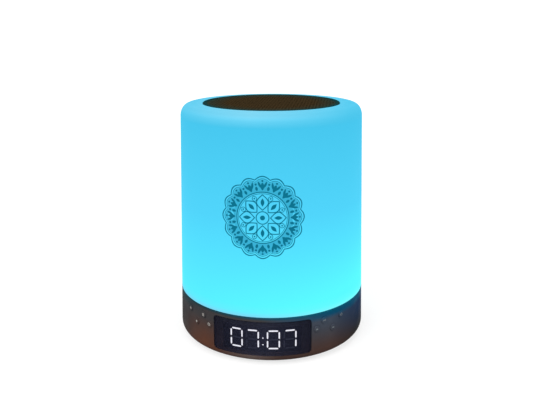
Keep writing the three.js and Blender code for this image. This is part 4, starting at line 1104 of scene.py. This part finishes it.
# Plastic and board parts
# White mouldings throw the light outwards, black ones hold the cell and the jack, and the boards are
# green lacquer over fine copper tracks.
def circuit_lacquer(name, colour, track):
    material, tree, _, grain = grained(name, scale=1500.0, mottle=0.15, Roughness=0.35)
    tracks = tree.nodes.new("ShaderNodeTexBrick")
    paler = tuple(c * 0.8 for c in colour[:3]) + (1,)
    for label, value in (("Scale", 260.0), ("Mortar Size", 0.06), ("Color1", colour), ("Color2", paler),
                         ("Mortar", track)):
        tracks.inputs[label].default_value = value
    tree.links.new(object_place(tree), tracks.inputs["Vector"])
    tree.links.new(tracks.outputs["Color"], grain.inputs["Colour"])
    return material


dress(moulded_plastic("white moulding", (0.84, 0.84, 0.81, 1), 0.5), "base_deck", "speaker_column")
dress(circuit_lacquer("green lacquer", (0.015, 0.10, 0.035, 1), (0.05, 0.22, 0.08, 1)),
      "main_board", "key_board_left", "key_board_right", "display_board")
dress(circuit_lacquer("white lacquer", (0.75, 0.77, 0.77, 1), (0.6, 0.6, 0.58, 1)), "led_board")
dress(circuit_lacquer("blue lacquer", (0.02, 0.07, 0.25, 1), (0.05, 0.15, 0.4, 1)), "radio_module")
dress(dark_plastic("black moulding", (0.010, 0.010, 0.011, 1), 0.5, painted_light=False),
      "aux_jack", "battery_holder", "switch_knob")
dress(dark_plastic("cover moulding", (0.04, 0.034, 0.031, 1), 0.5, painted_light=False), "bottom_cover")
dress(moulded_plastic("cell wrap", (0.024, 0.16, 0.46, 1), 0.35), "battery_cell")
dress(rubber("soft surround", (0.010, 0.010, 0.011, 1)), "speaker_surround")
dress(rubber("pressed paper", (0.018, 0.017, 0.018, 1)), "speaker_cone", "dust_cap")
dress(rubber("dipped cloth", (0.58, 0.38, 0.14, 1)), "speaker_spider")


# Floor, lights and camera
# A pale floor that runs up into a backdrop, broad soft lamps, and the camera of the photograph.
IMAGE_WIDTH = 547
FOCAL_PIXELS = 648.9
CAMERA_DISTANCE = 346.7 * MM
CAMERA_HEIGHT = 167.6 * MM
CAMERA_SIDE = 1.4 * MM
CAMERA_PITCH = 12.02
CAMERA_ROLL = -0.1
CAMERA_TURN = 6.05
CENTRE_SHIFT_PIXELS = (-0.5, -44.5)
SENSOR_WIDTH = 36.0
FLOOR_HALF = 3.0
FLOOR_GREY = (0.32, 0.32, 0.32, 1)
WHITE = (1, 1, 1, 1)
FLOOR_GLOW = 0.73
FAR_GLOW = 0.3
WORLD_LEVEL = 0.5
LAMP_TARGET = Vector((0, 0, 0.06))


def seen_directly(tree):
    # 1 for what the camera sees, straight, mirrored or through glass, and 0 for the light on the object
    path = tree.nodes.new("ShaderNodeLightPath")
    seen = math_node(tree, "MAXIMUM", path.outputs["Is Camera Ray"], path.outputs["Is Glossy Ray"])
    return math_node(tree, "MAXIMUM", seen, path.outputs["Is Transmission Ray"])


def stage_white():
    material, tree, _ = empty_material("pale floor")
    tree.nodes.clear()
    out = tree.nodes.new("ShaderNodeOutputMaterial")
    matt = tree.nodes.new("ShaderNodeBsdfDiffuse")
    matt.inputs["Color"].default_value = FLOOR_GREY
    glow = tree.nodes.new("ShaderNodeEmission")
    glow.inputs["Color"].default_value = WHITE
    # The lamps light the floor round the object, and further off the glow makes up for them
    away = tree.nodes.new("ShaderNodeVectorMath")
    away.operation = "LENGTH"
    tree.links.new(object_place(tree), away.inputs[0])
    far = times(tree, spread(tree, away.outputs["Value"], 0.1, 1.2), FAR_GLOW)
    glowing = times(tree, seen_directly(tree), math_node(tree, "ADD", far, FLOOR_GLOW))
    tree.links.new(glowing, glow.inputs["Strength"])
    both = tree.nodes.new("ShaderNodeAddShader")
    tree.links.new(matt.outputs[0], both.inputs[0])
    tree.links.new(glow.outputs[0], both.inputs[1])
    tree.links.new(both.outputs[0], out.inputs["Surface"])
    return material


def stage_floor():
    bm = bmesh.new()
    # A hair under the foot, so that the two flat faces don't coincide
    bmesh.ops.create_grid(bm, x_segments=1, y_segments=1, size=FLOOR_HALF,
                          matrix=Matrix.Translation((0, 0, -0.05 * MM)))
    back = [e for e in bm.edges if all(v.co.y > FLOOR_HALF * 0.9 for v in e.verts)]
    made = bmesh.ops.extrude_edge_only(bm, edges=back)
    raised = [v for v in made["geom"] if isinstance(v, bmesh.types.BMVert)]
    bmesh.ops.translate(bm, vec=(0, 0, FLOOR_HALF * 0.8), verts=raised)
    corner = [e for e in bm.edges if all(v.co.y > FLOOR_HALF * 0.9 and v.co.z < MM for v in e.verts)]
    bmesh.ops.bevel(bm, geom=corner, offset=FLOOR_HALF * 0.4, offset_type="OFFSET", segments=16, profile=0.5,
                    affect="EDGES", material=-1)
    stage = plain_object(bm, "pale_floor")
    stage.data.shade_smooth()
    stage.data.materials.append(stage_white())


def soft_lamp(name, place, size, power):
    light = bpy.data.lights.new(name, "AREA")
    light.shape = "SQUARE"
    light.size = size
    light.energy = power
    lamp = placed_object(name, light)
    lamp.location = place
    lamp.rotation_euler = (LAMP_TARGET - Vector(place)).to_track_quat("-Z", "Y").to_euler()


def studio_world():
    world = bpy.data.worlds.new("studio")
    world.use_nodes = True
    tree = world.node_tree
    background = tree.nodes["Background"]
    shown = times(tree, seen_directly(tree), 1 - WORLD_LEVEL)
    tree.links.new(math_node(tree, "ADD", shown, WORLD_LEVEL), background.inputs["Strength"])
    background.inputs["Color"].default_value = WHITE
    bpy.context.scene.world = world


def photograph_camera():
    data = bpy.data.cameras.new("camera")
    data.sensor_width = SENSOR_WIDTH
    data.sensor_fit = "HORIZONTAL"
    data.lens = FOCAL_PIXELS / IMAGE_WIDTH * SENSOR_WIDTH
    data.shift_x, data.shift_y = (pixels / IMAGE_WIDTH for pixels in CENTRE_SHIFT_PIXELS)
    camera = placed_object("camera", data)
    aim = (Matrix.Rotation(math.pi / 2 - math.radians(CAMERA_PITCH), 4, "X")
           @ Matrix.Rotation(math.radians(CAMERA_ROLL), 4, "Z"))
    stand = Matrix.Translation((CAMERA_SIDE, -CAMERA_DISTANCE, CAMERA_HEIGHT))
    camera.matrix_world = outwards(CAMERA_TURN) @ stand @ aim
    bpy.context.scene.camera = camera


stage_floor()
studio_world()
soft_lamp("key", (-0.45, -0.55, 0.75), 0.7, 5.0)
soft_lamp("fill", (0.65, -0.45, 0.45), 0.6, 2.5)
soft_lamp("top", (0.0, 0.15, 0.95), 0.8, 4.0)
photograph_camera()
bpy.context.scene.view_settings.view_transform = "Standard"
